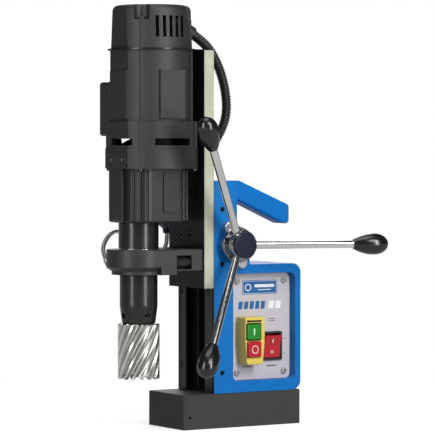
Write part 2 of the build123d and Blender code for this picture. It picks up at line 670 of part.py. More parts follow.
with BuildPart() as spindle_bracket:
    with BuildSketch(Plane.XY.offset(BRACKET_SKIRT_Z)):
        with Locations((0, SPINDLE_Y)):
            Circle(BRACKET_HALF)
        with Locations((0, (SPINDLE_Y + BRACKET_BLOCK_Y) / 2)):
            Rectangle(2 * BRACKET_HALF, BRACKET_BLOCK_Y - SPINDLE_Y)
    extrude(amount=BRACKET_Z1 - BRACKET_SKIRT_Z)
    with BuildSketch(Plane.XY.offset(BRACKET_LIP_Z)):
        with Locations((0, (BRACKET_BLOCK_Y + CARRIAGE_FRONT_Y) / 2)):
            Rectangle(2 * BRACKET_HALF - 2, CARRIAGE_FRONT_Y - BRACKET_BLOCK_Y)
    extrude(amount=BRACKET_Z1 - BRACKET_LIP_Z)
    chamfer(spindle_bracket.faces().sort_by(Axis.Z)[-1].edges(), length=1)
    with BuildSketch(Plane.XY.offset(BRACKET_SKIRT_Z)):
        with Locations((0, SPINDLE_Y)):
            Circle(BRACKET_HALF)
    extrude(amount=BRACKET_LIP_Z - BRACKET_SKIRT_Z, taper=45)
    with BuildSketch(Plane.XY.offset(BRACKET_Z0)):
        with Locations((0, SPINDLE_Y)):
            Circle(BRACKET_LIP_R)
    extrude(amount=BRACKET_LIP_Z - BRACKET_Z0)
    with BuildSketch(Plane.XY.offset(BRACKET_Z0)):
        with Locations((0, (BRACKET_CHEEK_Y + BRACKET_BLOCK_Y) / 2)):
            Rectangle(2 * BRACKET_HALF, BRACKET_BLOCK_Y - BRACKET_CHEEK_Y)
    extrude(amount=BRACKET_SKIRT_Z - BRACKET_Z0)
    for side in (-1, 1):
        with Locations((side * BRACKET_HALF, (POCKET_Y0 + POCKET_Y1) / 2, BRACKET_BOLT_Z)):
            Box(30, POCKET_Y1 - POCKET_Y0, 16, mode=Mode.SUBTRACT)
    with BuildSketch(Plane.XZ.offset(-CARRIAGE_FRONT_Y)):
        with Locations((-BRACKET_BOLT_X, BRACKET_BOLT_Z), (BRACKET_BOLT_X, BRACKET_BOLT_Z)):
            Circle(4.05)
    extrude(amount=20, mode=Mode.SUBTRACT)
    with BuildSketch(Plane.XY.offset(BRACKET_Z0)):
        with Locations((0, SPINDLE_Y)):
            Circle(QUILL_R)
    extrude(amount=BRACKET_Z1 - BRACKET_Z0, mode=Mode.SUBTRACT)
    with BuildSketch(Plane.XY.offset(BRACKET_Z0)):
        with Locations((0, (POCKET_Y1 + SPINDLE_Y + QUILL_R) / 2 + 3)):
            Rectangle(26, 18)
    extrude(amount=BRACKET_Z1 - BRACKET_Z0 - 5, mode=Mode.SUBTRACT)
save(spindle_bracket, "spindle_bracket")

SPACER_LENGTH = 4.0
with BuildPart() as bracket_bolt:
    with Locations((0, 0, SPACER_LENGTH)):
        add(socket_screw(6.5, 15.2, 4.0, 26.0, 3.4))
    with BuildSketch(Plane.XY):
        Circle(5.2)
        Circle(4.05, mode=Mode.SUBTRACT)
    extrude(amount=SPACER_LENGTH - 0.02)
placed_copies(
    bracket_bolt.part,
    [
        Plane(origin=(x, POCKET_Y1, BRACKET_BOLT_Z), x_dir=(1, 0, 0), z_dir=(0, -1, 0))
        for x in (-BRACKET_BOLT_X, BRACKET_BOLT_X)
    ],
    "bracket_bolts",
)

with BuildPart() as quill_tube:
    with BuildSketch(Plane.XY.offset(BRACKET_Z0)):
        with Locations((0, SPINDLE_Y)):
            Circle(QUILL_R)
            Circle(BEARING_R, mode=Mode.SUBTRACT)
    extrude(amount=GEARBOX_Z0 - BRACKET_Z0)
save(quill_tube, "quill_tube")

BEARING_ZS = (180.0, 219.0)
BEARING_H = 14.0
with BuildPart() as spindle_bearings:
    for z in BEARING_ZS:
        with BuildSketch(Plane.XY.offset(z)):
            with Locations((0, SPINDLE_Y)):
                Circle(BEARING_R)
                Circle(SPINDLE_R + RUNNING_CLEARANCE, mode=Mode.SUBTRACT)
        extrude(amount=BEARING_H)
    for z in BEARING_ZS:
        for face_z in (z, z + BEARING_H - 1.5):
            with BuildSketch(Plane.XY.offset(face_z)):
                with Locations((0, SPINDLE_Y)):
                    Circle(17)
                    Circle(13.5, mode=Mode.SUBTRACT)
            extrude(amount=1.5, mode=Mode.SUBTRACT)
save(spindle_bearings, "spindle_bearings")

# ---------------------------------------------------------------- gearbox and motor
CORNER_R = 19.5
GEARBOX_WALL = 3.5
GEARBOX_FLOOR = 4.0
GEARBOX_FRONT_Y = GEARBOX_Y - GEARBOX_SIDE / 2
FLUTE_R = 3.4
FLUTE_OUT = 1.0
GEARBOX_PAD_X0, GEARBOX_PAD_X1, GEARBOX_PAD = -21.0, 9.0, 3.8
with BuildPart() as gearbox_case:
    with BuildSketch(Plane.XY.offset(GEARBOX_Z0)):
        with Locations((0, GEARBOX_Y)):
            RectangleRounded(GEARBOX_SIDE, GEARBOX_SIDE, CORNER_R)
    extrude(amount=GEARBOX_Z1 - GEARBOX_Z0)
    fillet(gearbox_case.faces().sort_by(Axis.Z)[0].edges(), radius=3.5)
    with BuildSketch(Plane.YZ) as pad:
        Polygon(
            (GEARBOX_FRONT_Y - GEARBOX_PAD, GEARBOX_Z0 + 0.5),
            (GEARBOX_FRONT_Y - GEARBOX_PAD, GEARBOX_Z1),
            (GEARBOX_FRONT_Y + 1, GEARBOX_Z1),
            (GEARBOX_FRONT_Y + 6, GEARBOX_Z0 + 0.5),
            align=None,
        )
        fillet(pad.vertices().group_by(Axis.Y)[0].sort_by(Axis.X)[0], radius=3)
    extrude(amount=GEARBOX_PAD_X1, dir=(1, 0, 0))
    extrude(pad.sketch, amount=GEARBOX_PAD_X0, dir=(1, 0, 0))
    with BuildSketch(Plane.XY.offset(GEARBOX_Z0 + GEARBOX_FLOOR)):
        with Locations((0, GEARBOX_Y)):
            inner = GEARBOX_SIDE - 2 * GEARBOX_WALL
            RectangleRounded(inner, inner, CORNER_R - GEARBOX_WALL)
    extrude(amount=GEARBOX_Z1 - GEARBOX_Z0, mode=Mode.SUBTRACT)
    with BuildSketch(Plane.XY.offset(GEARBOX_Z0)):
        with Locations((0, SPINDLE_Y)):
            Circle(14)
    extrude(amount=GEARBOX_FLOOR, mode=Mode.SUBTRACT)
    with BuildSketch(Plane.XY.offset(GEARBOX_Z0 + 3)):
        corner = GEARBOX_SIDE / 2 - CORNER_R
        for quarter in range(4):
            facing = 45 + 90 * quarter
            centre_x = corner * (1 if cos(radians(facing)) > 0 else -1)
            centre_y = GEARBOX_Y + corner * (1 if sin(radians(facing)) > 0 else -1)
            for step in (-24, 0, 24):
                angle = radians(facing + step)
                reach = CORNER_R + FLUTE_OUT
                with Locations((centre_x + reach * cos(angle), centre_y + reach * sin(angle))):
                    Circle(FLUTE_R)
    extrude(amount=GEARBOX_Z1 - GEARBOX_Z0 - 4.5, mode=Mode.SUBTRACT)
    with BuildSketch(Plane.YZ.offset(GEARBOX_SIDE / 2)):
        with Locations((-92.5, 272.0)):
            RectangleRounded(29, 50, 5)
            RectangleRounded(24.4, 45.4, 3)
            RectangleRounded(24, 45, 3, mode=Mode.SUBTRACT)
    groove = extrude(amount=-1.6, mode=Mode.SUBTRACT)
    mirror(groove, about=Plane.YZ, mode=Mode.SUBTRACT)
    with Locations((INTER_X, INTER_Y, GEARBOX_Z0 + GEARBOX_FLOOR)):
        Cylinder(GEAR_PIN_R, 40, align=(Align.CENTER, Align.CENTER, Align.MIN))
save(gearbox_case, "gearbox_case")


def flatted_disc(radius, flat):
    """Draw a disc on the motor's axis, flatted at the front and the back."""
    with Locations((0, MOTOR_Y)):
        Circle(radius)
        Rectangle(2 * radius, 2 * flat, mode=Mode.INTERSECT)


FLANGE_FLOOR = 6.0
WINDOW_Z0, WINDOW_Z1 = 325.6, 333.6
FRONT_WINDOW_X0, FRONT_WINDOW_X1 = -13.0, 30.0
PLATE_PAD_X0, PLATE_PAD_X1, PLATE_PAD, PLATE_Z = -21.0, 22.0, 1.2, 309.2
MOTOR_SCREW_R = 1.5
ARMATURE_BEARING_R = 11.0
COLLAR_Z1 = 322.6
COLLAR_STEP = 0.8
RIB_R = 1.5


def corner_ribs(radius, z0, z1):
    """Return the thin ribs that cover the motor's long screws, one on each diagonal."""
    with BuildPart() as ribs:
        with BuildSketch(Plane.XY.offset(z0)):
            with PolarLocations(radius, 4, start_angle=45):
                Circle(RIB_R)
        extrude(amount=z1 - z0)
    return ribs.part


with BuildPart() as motor_flange:
    with BuildSketch(Plane.XY.offset(GEARBOX_Z1)):
        Circle(FLANGE_R)
        Rectangle(2 * FLANGE_R, 2 * FLANGE_FLAT, mode=Mode.INTERSECT)
    extrude(amount=COLLAR_Z1 - GEARBOX_Z1)
    chamfer(motor_flange.faces().sort_by(Axis.Z)[-1].edges(), length=0.6)
    with BuildSketch(Plane.XY.offset(GEARBOX_Z1)):
        Circle(FLANGE_R - COLLAR_STEP)
        Rectangle(2 * FLANGE_R, 2 * (FLANGE_FLAT - COLLAR_STEP), mode=Mode.INTERSECT)
    extrude(amount=FLANGE_Z1 - GEARBOX_Z1)
    add(corner_ribs(FLANGE_R - COLLAR_STEP - 0.5, GEARBOX_Z1, FLANGE_Z1))
    with Locations(((PLATE_PAD_X0 + PLATE_PAD_X1) / 2, -FLANGE_FLAT, PLATE_Z)):
        Box(PLATE_PAD_X1 - PLATE_PAD_X0, 2 * PLATE_PAD, 18)
    with BuildSketch(Plane.XY.offset(GEARBOX_Z1 + FLANGE_FLOOR)):
        Circle(42)
    extrude(amount=FLANGE_Z1 - GEARBOX_Z1, mode=Mode.SUBTRACT)
    with BuildSketch(Plane.XY.offset(GEARBOX_Z1)):
        Circle(ARMATURE_BEARING_R)
    extrude(amount=FLANGE_FLOOR, mode=Mode.SUBTRACT)
    with Locations((0, 0, (WINDOW_Z0 + WINDOW_Z1) / 2)):
        Box(150, 46, WINDOW_Z1 - WINDOW_Z0, mode=Mode.SUBTRACT)
    with Locations(((FRONT_WINDOW_X0 + FRONT_WINDOW_X1) / 2, -50, (WINDOW_Z0 + WINDOW_Z1) / 2)):
        Box(FRONT_WINDOW_X1 - FRONT_WINDOW_X0, 50, WINDOW_Z1 - WINDOW_Z0, mode=Mode.SUBTRACT)
    with BuildSketch(Plane.XY.offset(GEARBOX_Z1)):
        with GridLocations(2 * FLANGE_SCREW, 2 * FLANGE_SCREW, 2, 2):
            Circle(MOTOR_SCREW_R + 0.05)
    extrude(amount=12, mode=Mode.SUBTRACT)
motor_flange.part = motor_flange.part.moved(Location((0, MOTOR_Y, 0)))
save(motor_flange, "motor_flange")

with BuildPart() as flange_screw:
    Cylinder(3.0, 2.8, align=(Align.CENTER, Align.CENTER, Align.MAX))
    Cylinder(MOTOR_SCREW_R, 11.0, align=(Align.CENTER, Align.CENTER, Align.MIN))
    with BuildSketch(Plane.XY.offset(-2.8)):
        RegularPolygon(1.6, 6)
    extrude(amount=1.6, mode=Mode.SUBTRACT)
placed_copies(
    flange_screw.part,
    [
        Plane(origin=(x * FLANGE_SCREW, MOTOR_Y + y * FLANGE_SCREW, GEARBOX_Z1))
        for x in (-1, 1)
        for y in (-1, 1)
    ],
    "flange_screws",
)

STATOR_R = 40.3
PAD_HALF = 16.2
PAD_Z1 = 411.0
with BuildPart() as motor_body:
    with BuildSketch(Plane.XY.offset(FLANGE_Z1)):
        flatted_disc(BODY_R, BODY_FLAT)
    extrude(amount=BODY_Z1 - FLANGE_Z1)
    with Locations((0, MOTOR_Y, (FLANGE_Z1 + 3 + PAD_Z1) / 2)):
        Box(2 * BODY_R + 1.2, 2 * PAD_HALF, PAD_Z1 - FLANGE_Z1 - 3)
    with Locations((0, MOTOR_Y - BODY_FLAT, (FLANGE_Z1 + 3 + PAD_Z1) / 2)):
        Box(2 * PAD_HALF + 6, 2.4, PAD_Z1 - FLANGE_Z1 - 3)
    with Locations((0, MOTOR_Y, 0)):
        add(corner_ribs(BODY_R - 0.5, FLANGE_Z1, BODY_Z1))
    with BuildSketch(Plane.XY.offset(FLANGE_Z1)):
        with Locations((0, MOTOR_Y)):
            Circle(STATOR_R)
    extrude(amount=BODY_Z1 - FLANGE_Z1, mode=Mode.SUBTRACT)
save(motor_body, "motor_body")

STATOR_Z0, STATOR_Z1 = 366.0, 414.0
ROTOR_R = 26.0
with BuildPart() as stator:
    with BuildSketch(Plane.XY.offset(STATOR_Z0)):
        with Locations((0, MOTOR_Y)):
            Circle(STATOR_R)
            Circle(ROTOR_R + 0.8, mode=Mode.SUBTRACT)
    extrude(amount=STATOR_Z1 - STATOR_Z0)
    for z in (STATOR_Z0 - 8, STATOR_Z1):
        with BuildSketch(Plane.XY.offset(z)):
            with Locations((0, MOTOR_Y)):
                Circle(38)
                Circle(30, mode=Mode.SUBTRACT)
        extrude(amount=8)
save(stator, "stator")

COMMUTATOR_R = 13.0
BRUSH_Z = 428.0
with BuildPart() as carbon_brushes:
    for side in (-1, 1):
        with Locations((side * (COMMUTATOR_R + 0.3 + 13.3), MOTOR_Y, BRUSH_Z)):
            Box(26.6, 7, 6)
save(carbon_brushes, "carbon_brushes")

STAY_R = 50.5
with BuildPart() as stay_plate:
    with BuildSketch(Plane.XY.offset(BODY_Z1)):
        with Locations((0, MOTOR_Y)):
            Circle(STAY_R)
        with Locations((0, (MOTOR_Y + CARRIAGE_BACK_Y) / 2)):
            Rectangle(60, CARRIAGE_BACK_Y - MOTOR_Y)
        with Locations((0, MOTOR_Y)):
            Circle(STATOR_R - 2, mode=Mode.SUBTRACT)
    extrude(amount=STAY_THICK)
save(stay_plate, "stay_plate")

CAP_FLAT = 42.5
CAP_Z0 = BODY_Z1 + STAY_THICK
CAP_INNER_R = 34.0
CAP_TOP = 4.5
HOSE_START = Vector(*HOSE_ROUTE[0])
HOSE_WAY = (Vector(*HOSE_ROUTE[1]) - HOSE_START).normalized()
GLAND_R, GLAND_LENGTH = 8.0, 13.0
GLAND_PLANE = Plane(
    origin=HOSE_START - HOSE_WAY * GLAND_LENGTH,
    x_dir=(1, 0, 0),
    z_dir=HOSE_WAY,
)
with BuildPart() as motor_cap:
    with BuildSketch(Plane.XZ.offset(-MOTOR_Y)) as profile:
        Polygon(
            (0, CAP_Z0),
            (CAP_R, CAP_Z0),
            (CAP_R - 1.8, CAP_Z1),
            (0, CAP_Z1),
            align=None,
        )
        fillet(profile.vertices().sort_by(Axis.Y)[-2:].sort_by(Axis.X)[-1], radius=6.5)
    revolve(axis=Axis((0, MOTOR_Y, 0), (0, 0, 1)))
    with Locations((0, MOTOR_Y, 0)):
        add(corner_ribs(CAP_R - 1.0, CAP_Z0, CAP_LEDGE_Z))
    for side in (-1, 1):
        with Locations((0, MOTOR_Y + side * (CAP_FLAT + 10), (CAP_Z0 + CAP_Z1) / 2)):
            Box(120, 20, CAP_Z1 - CAP_Z0, mode=Mode.SUBTRACT)
    with BuildSketch(Plane.XY.offset(CAP_Z0)):
        with Locations((0, MOTOR_Y)):
            Circle(CAP_INNER_R)
    extrude(amount=CAP_Z1 - CAP_TOP - CAP_Z0, mode=Mode.SUBTRACT)
    with BuildSketch(Plane.XY.offset(CAP_LEDGE_Z)):
        with Locations((0, MOTOR_Y)):
            with GridLocations(2 * CAP_RECESS, 2 * CAP_RECESS, 2, 2):
                Circle(9)
    extrude(amount=30, mode=Mode.SUBTRACT)
    with BuildSketch(Plane.XY.offset(CAP_LEDGE_Z - 16)):
        with Locations((0, MOTOR_Y)):
            with GridLocations(2 * CAP_SCREW, 2 * CAP_SCREW, 2, 2):
                Circle(MOTOR_SCREW_R + 0.05)
    extrude(amount=30, mode=Mode.SUBTRACT)
    for side in (-1, 1):
        with Locations((side * 45, MOTOR_Y - 1, 460.6)):
            with GridLocations(30, 8, 1, 5):
                Box(30, 3.8, 24, mode=Mode.SUBTRACT)
    with BuildSketch(GLAND_PLANE):
        Circle(GLAND_R)
    extrude(amount=GLAND_LENGTH, mode=Mode.SUBTRACT)
save(motor_cap, "motor_cap")

placed_copies(
    socket_screw(3.7, 2.8, MOTOR_SCREW_R, 15.0, 1.8),
    [
        Plane(origin=(x * CAP_SCREW, MOTOR_Y + y * CAP_SCREW, CAP_LEDGE_Z))
        for x in (-1, 1)
        for y in (-1, 1)
    ],
    "cap_screws",
)

with BuildPart() as conduit_gland_upper:
    with BuildSketch(GLAND_PLANE):
        Circle(GLAND_R)
    extrude(amount=GLAND_LENGTH)
    chamfer(conduit_gland_upper.faces().sort_by(Axis.Y)[-1].edges(), length=0.8)
save(conduit_gland_upper, "conduit_gland_upper")

MODULE_X0, MODULE_X1 = -60.5, -30.0
MODULE_Y0, MODULE_Y1 = -134.3, -70.0
MODULE_Z0, MODULE_Z1 = 336.5, 399.0
MODULE_SEAM_X = -42.5
FLANGE_FRONT_Y = MOTOR_Y - FLANGE_FLAT
with BuildPart() as speed_module:
    with BuildSketch(Plane.XZ.offset(-MODULE_Y0)) as outline:
        with Locations(((MODULE_X0 + MODULE_X1) / 2, (MODULE_Z0 + MODULE_Z1) / 2)):
            Rectangle(MODULE_X1 - MODULE_X0, MODULE_Z1 - MODULE_Z0)
        fillet(outline.vertices().sort_by(Axis.X)[:2], radius=4)
    extrude(amount=MODULE_Y0 - MODULE_Y1)
    side_edges = speed_module.faces().sort_by(Axis.X)[0].edges().filter_by(Axis.Z)
    fillet(side_edges, radius=3.5)
    with BuildSketch(Plane.YZ.offset(MODULE_SEAM_X)):
        with Locations(((MODULE_Y0 + MODULE_Y1) / 2, (MODULE_Z0 + MODULE_Z1) / 2)):
            Rectangle(100, 100)
            Rectangle(MODULE_Y1 - MODULE_Y0 - 1.2, MODULE_Z1 - MODULE_Z0 - 1.2, mode=Mode.SUBTRACT)
    extrude(amount=0.9, mode=Mode.SUBTRACT)
    with Locations((0, MOTOR_Y, MODULE_Z0 - 10)):
        Cylinder(
            FLANGE_R + 0.05,
            FLANGE_Z1 - MODULE_Z0 + 10.05,
            align=(Align.CENTER, Align.CENTER, Align.MIN),
            mode=Mode.SUBTRACT,
        )
        Cylinder(BODY_R + 0.02, 100, align=(Align.CENTER, Align.CENTER, Align.MIN), mode=Mode.SUBTRACT)
        Box(
            2 * BODY_R + 1.3,
            2 * PAD_HALF + 0.2,
            100,
            align=(Align.CENTER, Align.CENTER, Align.MIN),
            mode=Mode.SUBTRACT,
        )
    for z0, rib_radius in ((MODULE_Z0 - 1, FLANGE_R - COLLAR_STEP - 0.5), (FLANGE_Z1, BODY_R - 0.5)):
        rib_at = rib_radius * cos(radians(45))
        with Locations((-rib_at, MOTOR_Y - rib_at, z0)):
            Cylinder(
                RIB_R + 0.05,
                100,
                align=(Align.CENTER, Align.CENTER, Align.MIN),
                mode=Mode.SUBTRACT,
            )
save(speed_module, "speed_module")

PLATE_Y = FLANGE_FRONT_Y - PLATE_PAD
with BuildPart() as rating_plate:
    with BuildSketch(Plane.XZ.offset(-PLATE_Y)):
        with Locations((5.0, PLATE_Z)):
            RectangleRounded(29, 10.5, 1)
    extrude(amount=0.5)
    with BuildSketch(Plane.XZ.offset(-PLATE_Y + 0.5)):
        with Locations((-7.0, PLATE_Z), (17.0, PLATE_Z)):
            Circle(1.3)
    extrude(amount=0.6)
save(rating_plate, "rating_plate")

# ---------------------------------------------------------------- coolant supply
with BuildPart() as coolant_bottle:
    with BuildSketch(Plane.XZ):
        Polygon(
            (0, BOTTLE_TIP_Z),
            (4.5, BOTTLE_TIP_Z),
            (5.5, BOTTLE_TIP_Z + 6),
            (BOTTLE_R, BOTTLE_SHOULDER_Z),
            (BOTTLE_R, BOTTLE_Z1 - 4),
            (BOTTLE_R - 4, BOTTLE_Z1),
            (0, BOTTLE_Z1),
            align=None,
        )
    revolve(axis=Axis.Z)
coolant_bottle.part = coolant_bottle.part.moved(Location((BOTTLE_X, BOTTLE_Y, 0)))
save(coolant_bottle, "coolant_bottle")

with BuildPart() as bottle_cap:
    with Locations((BOTTLE_X, BOTTLE_Y, BOTTLE_Z1)):
        Cylinder(14, 10, align=(Align.CENTER, Align.CENTER, Align.MIN))
    chamfer(bottle_cap.faces().sort_by(Axis.Z)[-1].edges(), length=1)
save(bottle_cap, "bottle_cap")

BRACKET_BAND_R = BOTTLE_R + 2
with BuildPart() as bottle_bracket:
    with BuildSketch(Plane.XY.offset(302)):
        with Locations((BOTTLE_X, BOTTLE_Y)):
            Circle(BRACKET_BAND_R)
        with Locations((-45, -46)):
            Rectangle(10, 10)
        with Locations((BOTTLE_X, BOTTLE_Y)):
            Circle(BOTTLE_R, mode=Mode.SUBTRACT)
    extrude(amount=16)
save(bottle_bracket, "bottle_bracket")

TUBE_END = Vector(*TUBE_ROUTE[-1])
TUBE_WAY = (TUBE_END - Vector(*TUBE_ROUTE[-2])).normalized()
NIPPLE_LENGTH = 11.0
NIPPLE_PLANE = Plane(origin=TUBE_END, x_dir=(0, 1, 0), z_dir=TUBE_WAY)
with BuildPart() as coolant_nipple:
    with BuildSketch(NIPPLE_PLANE):
        Circle(3.6)
    extrude(amount=NIPPLE_LENGTH)
    add(spindle_bracket.part, mode=Mode.SUBTRACT)
    add(quill_tube.part, mode=Mode.SUBTRACT)
save(coolant_nipple, "coolant_nipple")


def flexible_tube(route, diameter, label):
    """Sweep a round section along straight runs joined by the largest tangent arcs."""
    points = [Vector(*point) for point in route]
    radii = []
    for before, corner, after in zip(points, points[1:], points[2:]):
        first = corner - before
        second = after - corner
        half_turn = radians(first.get_angle(second) / 2)
        radii.append(0.45 * min(first.length, second.length) / tan(half_turn))
    print(label, "radii", [round(radius, 1) for radius in radii])
    with BuildPart() as tube:
        with BuildLine() as path:
            FilletPolyline(*points, radius=radii)
        start = Plane(origin=points[0], z_dir=points[1] - points[0])
        with BuildSketch(start):
            Circle(diameter / 2)
        sweep(path=path.line)
    length = sum(edge.length for edge in path.edges())
    ideal = pi * diameter**2 / 4 * length
    print(label, "length", round(length, 1), "volume ratio", round(tube.part.volume / ideal, 4))
    save(tube, label)


flexible_tube(HOSE_ROUTE, HOSE_D, "conduit_hose")
flexible_tube(TUBE_ROUTE, TUBE_D, "coolant_tube")

# ---------------------------------------------------------------- spindle
SPINDLE_TOP_Z = 260.5
WELDON_DEPTH = 34.0
SET_SCREW_Z = 131.0
SET_SCREW_R = 3.5
with BuildPart() as arbor:
    with BuildSketch(Plane.XZ):
        Polygon(
            (0, ARBOR_Z0),
            (ARBOR_TIP_R - 0.8, ARBOR_Z0),
            (ARBOR_TIP_R, ARBOR_Z0 + 1.2),
            (ARBOR_R, ARBOR_TAPER_Z),
            (ARBOR_R, ARBOR_Z1 - 0.8),
            (ARBOR_R - 0.8, ARBOR_Z1),
            (SPINDLE_R, ARBOR_Z1),
            (SPINDLE_R, SPINDLE_TOP_Z),
            (0, SPINDLE_TOP_Z),
            align=None,
        )
    revolve(axis=Axis.Z)
    with BuildSketch(Plane.XY.offset(ARBOR_Z0)):
        Circle(WELDON_R)
    extrude(amount=WELDON_DEPTH, mode=Mode.SUBTRACT)
    with BuildSketch(Plane.YZ):
        with Locations((0, SET_SCREW_Z)):
            Circle(SET_SCREW_R)
    extrude(amount=30, mode=Mode.SUBTRACT)
    with BuildSketch(Plane.XZ):
        with Locations((0, SET_SCREW_Z)):
            Circle(SET_SCREW_R)
    extrude(amount=30, mode=Mode.SUBTRACT)
arbor.part = arbor.part.moved(Location((0, SPINDLE_Y, 0)))
save(arbor, "arbor")

with BuildPart() as set_screw:
    Cylinder(SET_SCREW_R - 0.03, 7.5, align=(Align.CENTER, Align.CENTER, Align.MIN))
    with BuildSketch(Plane.XY.offset(7.5)):
        RegularPolygon(2.0, 6)
    extrude(amount=-4, mode=Mode.SUBTRACT)
placed_copies(
    set_screw.part,
    [
        Plane(origin=(10, SPINDLE_Y, SET_SCREW_Z), z_dir=(1, 0, 0)),
        Plane(origin=(0, SPINDLE_Y - 10, SET_SCREW_Z), x_dir=(1, 0, 0), z_dir=(0, -1, 0)),
    ],
    "set_screws",
)

CUTTER_WALL = 5.5
CUTTER_DEPTH = 52.0
CUTTER_ROOF_Z = CUTTER_Z0 + CUTTER_DEPTH
with BuildPart() as annular_cutter:
    with BuildSketch(Plane.XZ):
        Polygon(
            (CUTTER_R - CUTTER_WALL, CUTTER_Z0 + 1.5),
            (CUTTER_R - CUTTER_WALL / 2, CUTTER_Z0),
            (CUTTER_R, CUTTER_Z0 + 1.0),
            (CUTTER_R, CUTTER_Z1 - 1.0),
            (CUTTER_R - 1.0, CUTTER_Z1),
            (WELDON_R - 0.03, CUTTER_Z1),
            (WELDON_R - 0.03, CUTTER_Z1 + 30),
            (0, CUTTER_Z1 + 30),
            (0, CUTTER_ROOF_Z),
            (CUTTER_R - CUTTER_WALL, CUTTER_ROOF_Z),
            align=None,
        )
    revolve(axis=Axis.Z)
    with BuildSketch(Plane.XY.offset(CUTTER_Z0)):
        with PolarLocations(CUTTER_R, CUTTER_TEETH):
            Rectangle(3.2, 3.6)
    extrude(amount=52, mode=Mode.SUBTRACT)
annular_cutter.part = annular_cutter.part.moved(Location((0, SPINDLE_Y, 0)))
save(annular_cutter, "annular_cutter")

GEAR_Z0 = 243.0
with BuildPart() as spindle_gear:
    with BuildSketch(Plane.XY.offset(GEAR_Z0)):
        gear_profile(36, SPINDLE_GEAR_R - MESH_CLEARANCE, 1.1)
        Circle(SPINDLE_R, mode=Mode.SUBTRACT)
    extrude(amount=12)
spindle_gear.part = spindle_gear.part.moved(Location((0, SPINDLE_Y, 0)))
save(spindle_gear, "spindle_gear")

with BuildPart() as intermediate_gear:
    with BuildSketch(Plane.XY.offset(GEAR_Z0)):
        gear_profile(10, INTER_PINION_R - MESH_CLEARANCE, 1.1)
    extrude(amount=18)
    with BuildSketch(Plane.XY.offset(GEAR_Z0 + 18)):
        gear_profile(27, INTER_GEAR_R - MESH_CLEARANCE, 1.1)
    extrude(amount=12)
    with BuildSketch(Plane.XY.offset(GEAR_Z0)):
        Circle(GEAR_PIN_R + RUNNING_CLEARANCE)
    extrude(amount=30, mode=Mode.SUBTRACT)
intermediate_gear.part = intermediate_gear.part.moved(Location((INTER_X, INTER_Y, 0)))
save(intermediate_gear, "intermediate_gear")

SHAFT_Z0, SHAFT_Z1 = 258.0, 478.0
ARMATURE_BEARING_ZS = (GEARBOX_Z1, 464.0)
with BuildPart() as armature_bearings:
    for z in ARMATURE_BEARING_ZS:
        with BuildSketch(Plane.XY.offset(z)):
            with Locations((0, MOTOR_Y)):
                Circle(ARMATURE_BEARING_R)
                Circle(ARMATURE_SHAFT_R + RUNNING_CLEARANCE, mode=Mode.SUBTRACT)
        extrude(amount=FLANGE_FLOOR)
    with BuildSketch(Plane.XY.offset(464.0)):
        with Locations((0, MOTOR_Y)):
            Circle(CAP_INNER_R)
            Circle(ARMATURE_BEARING_R, mode=Mode.SUBTRACT)
            Rectangle(2 * CAP_INNER_R, 14, mode=Mode.INTERSECT)
    extrude(amount=FLANGE_FLOOR)
save(armature_bearings, "armature_bearings")

FAN_R = 38.0
with BuildPart() as armature:
    with BuildSketch(Plane.XY.offset(SHAFT_Z0)):
        Circle(ARMATURE_SHAFT_R)
    extrude(amount=SHAFT_Z1 - SHAFT_Z0)
    with BuildSketch(Plane.XY.offset(STATOR_Z0)):
        gear_profile(16, ROTOR_R, 2.0)
    extrude(amount=STATOR_Z1 - STATOR_Z0)
    with BuildSketch(Plane.XY.offset(BRUSH_Z - 9)):
        Circle(COMMUTATOR_R)
    extrude(amount=18)
    with BuildSketch(Plane.XY.offset(337)):
        Circle(FAN_R)
    extrude(amount=2)
    with BuildSketch(Plane.XY.offset(339)):
        with PolarLocations(26, 12):
            Rectangle(22, 2)
        Circle(9)
    extrude(amount=11)
armature.part = armature.part.moved(Location((0, MOTOR_Y, 0)))
save(armature, "armature")
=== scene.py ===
from math import cos, pi, radians, sin, tan

import bmesh
import bpy
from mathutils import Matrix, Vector


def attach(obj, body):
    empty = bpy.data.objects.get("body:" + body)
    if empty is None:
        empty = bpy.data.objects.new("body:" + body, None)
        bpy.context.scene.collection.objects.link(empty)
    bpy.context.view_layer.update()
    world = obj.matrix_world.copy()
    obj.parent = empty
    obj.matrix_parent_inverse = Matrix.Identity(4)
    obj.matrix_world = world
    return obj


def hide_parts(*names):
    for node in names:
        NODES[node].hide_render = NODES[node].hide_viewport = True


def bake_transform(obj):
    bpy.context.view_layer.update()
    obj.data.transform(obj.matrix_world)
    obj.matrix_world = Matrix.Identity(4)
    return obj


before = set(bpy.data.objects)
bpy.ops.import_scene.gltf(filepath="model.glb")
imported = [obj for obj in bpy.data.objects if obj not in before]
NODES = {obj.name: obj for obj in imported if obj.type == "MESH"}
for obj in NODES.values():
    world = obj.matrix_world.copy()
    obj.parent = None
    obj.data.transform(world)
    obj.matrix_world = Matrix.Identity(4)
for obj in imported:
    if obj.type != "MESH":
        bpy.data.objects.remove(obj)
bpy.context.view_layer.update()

# Magnetic drill press, metres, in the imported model's frame: +Z up, spindle side -Y, capstan +X.
MM = 0.001


# ------------------------------------------------------------------ materials
def node_material(name):
    """A new node material, its tree and its Principled shader."""
    mat = bpy.data.materials.new(name)
    mat.use_nodes = True
    tree = mat.node_tree
    shader = tree.nodes["Principled BSDF"]
    return mat, tree, shader


def make_node(tree, kind, values=(), **settings):
    """A node of this kind, with its settings and the values of its inputs."""
    node = tree.nodes.new(kind)
    for key, value in settings.items():
        setattr(node, key, value)
    for key, value in values:
        node.inputs[key].default_value = value
    return node


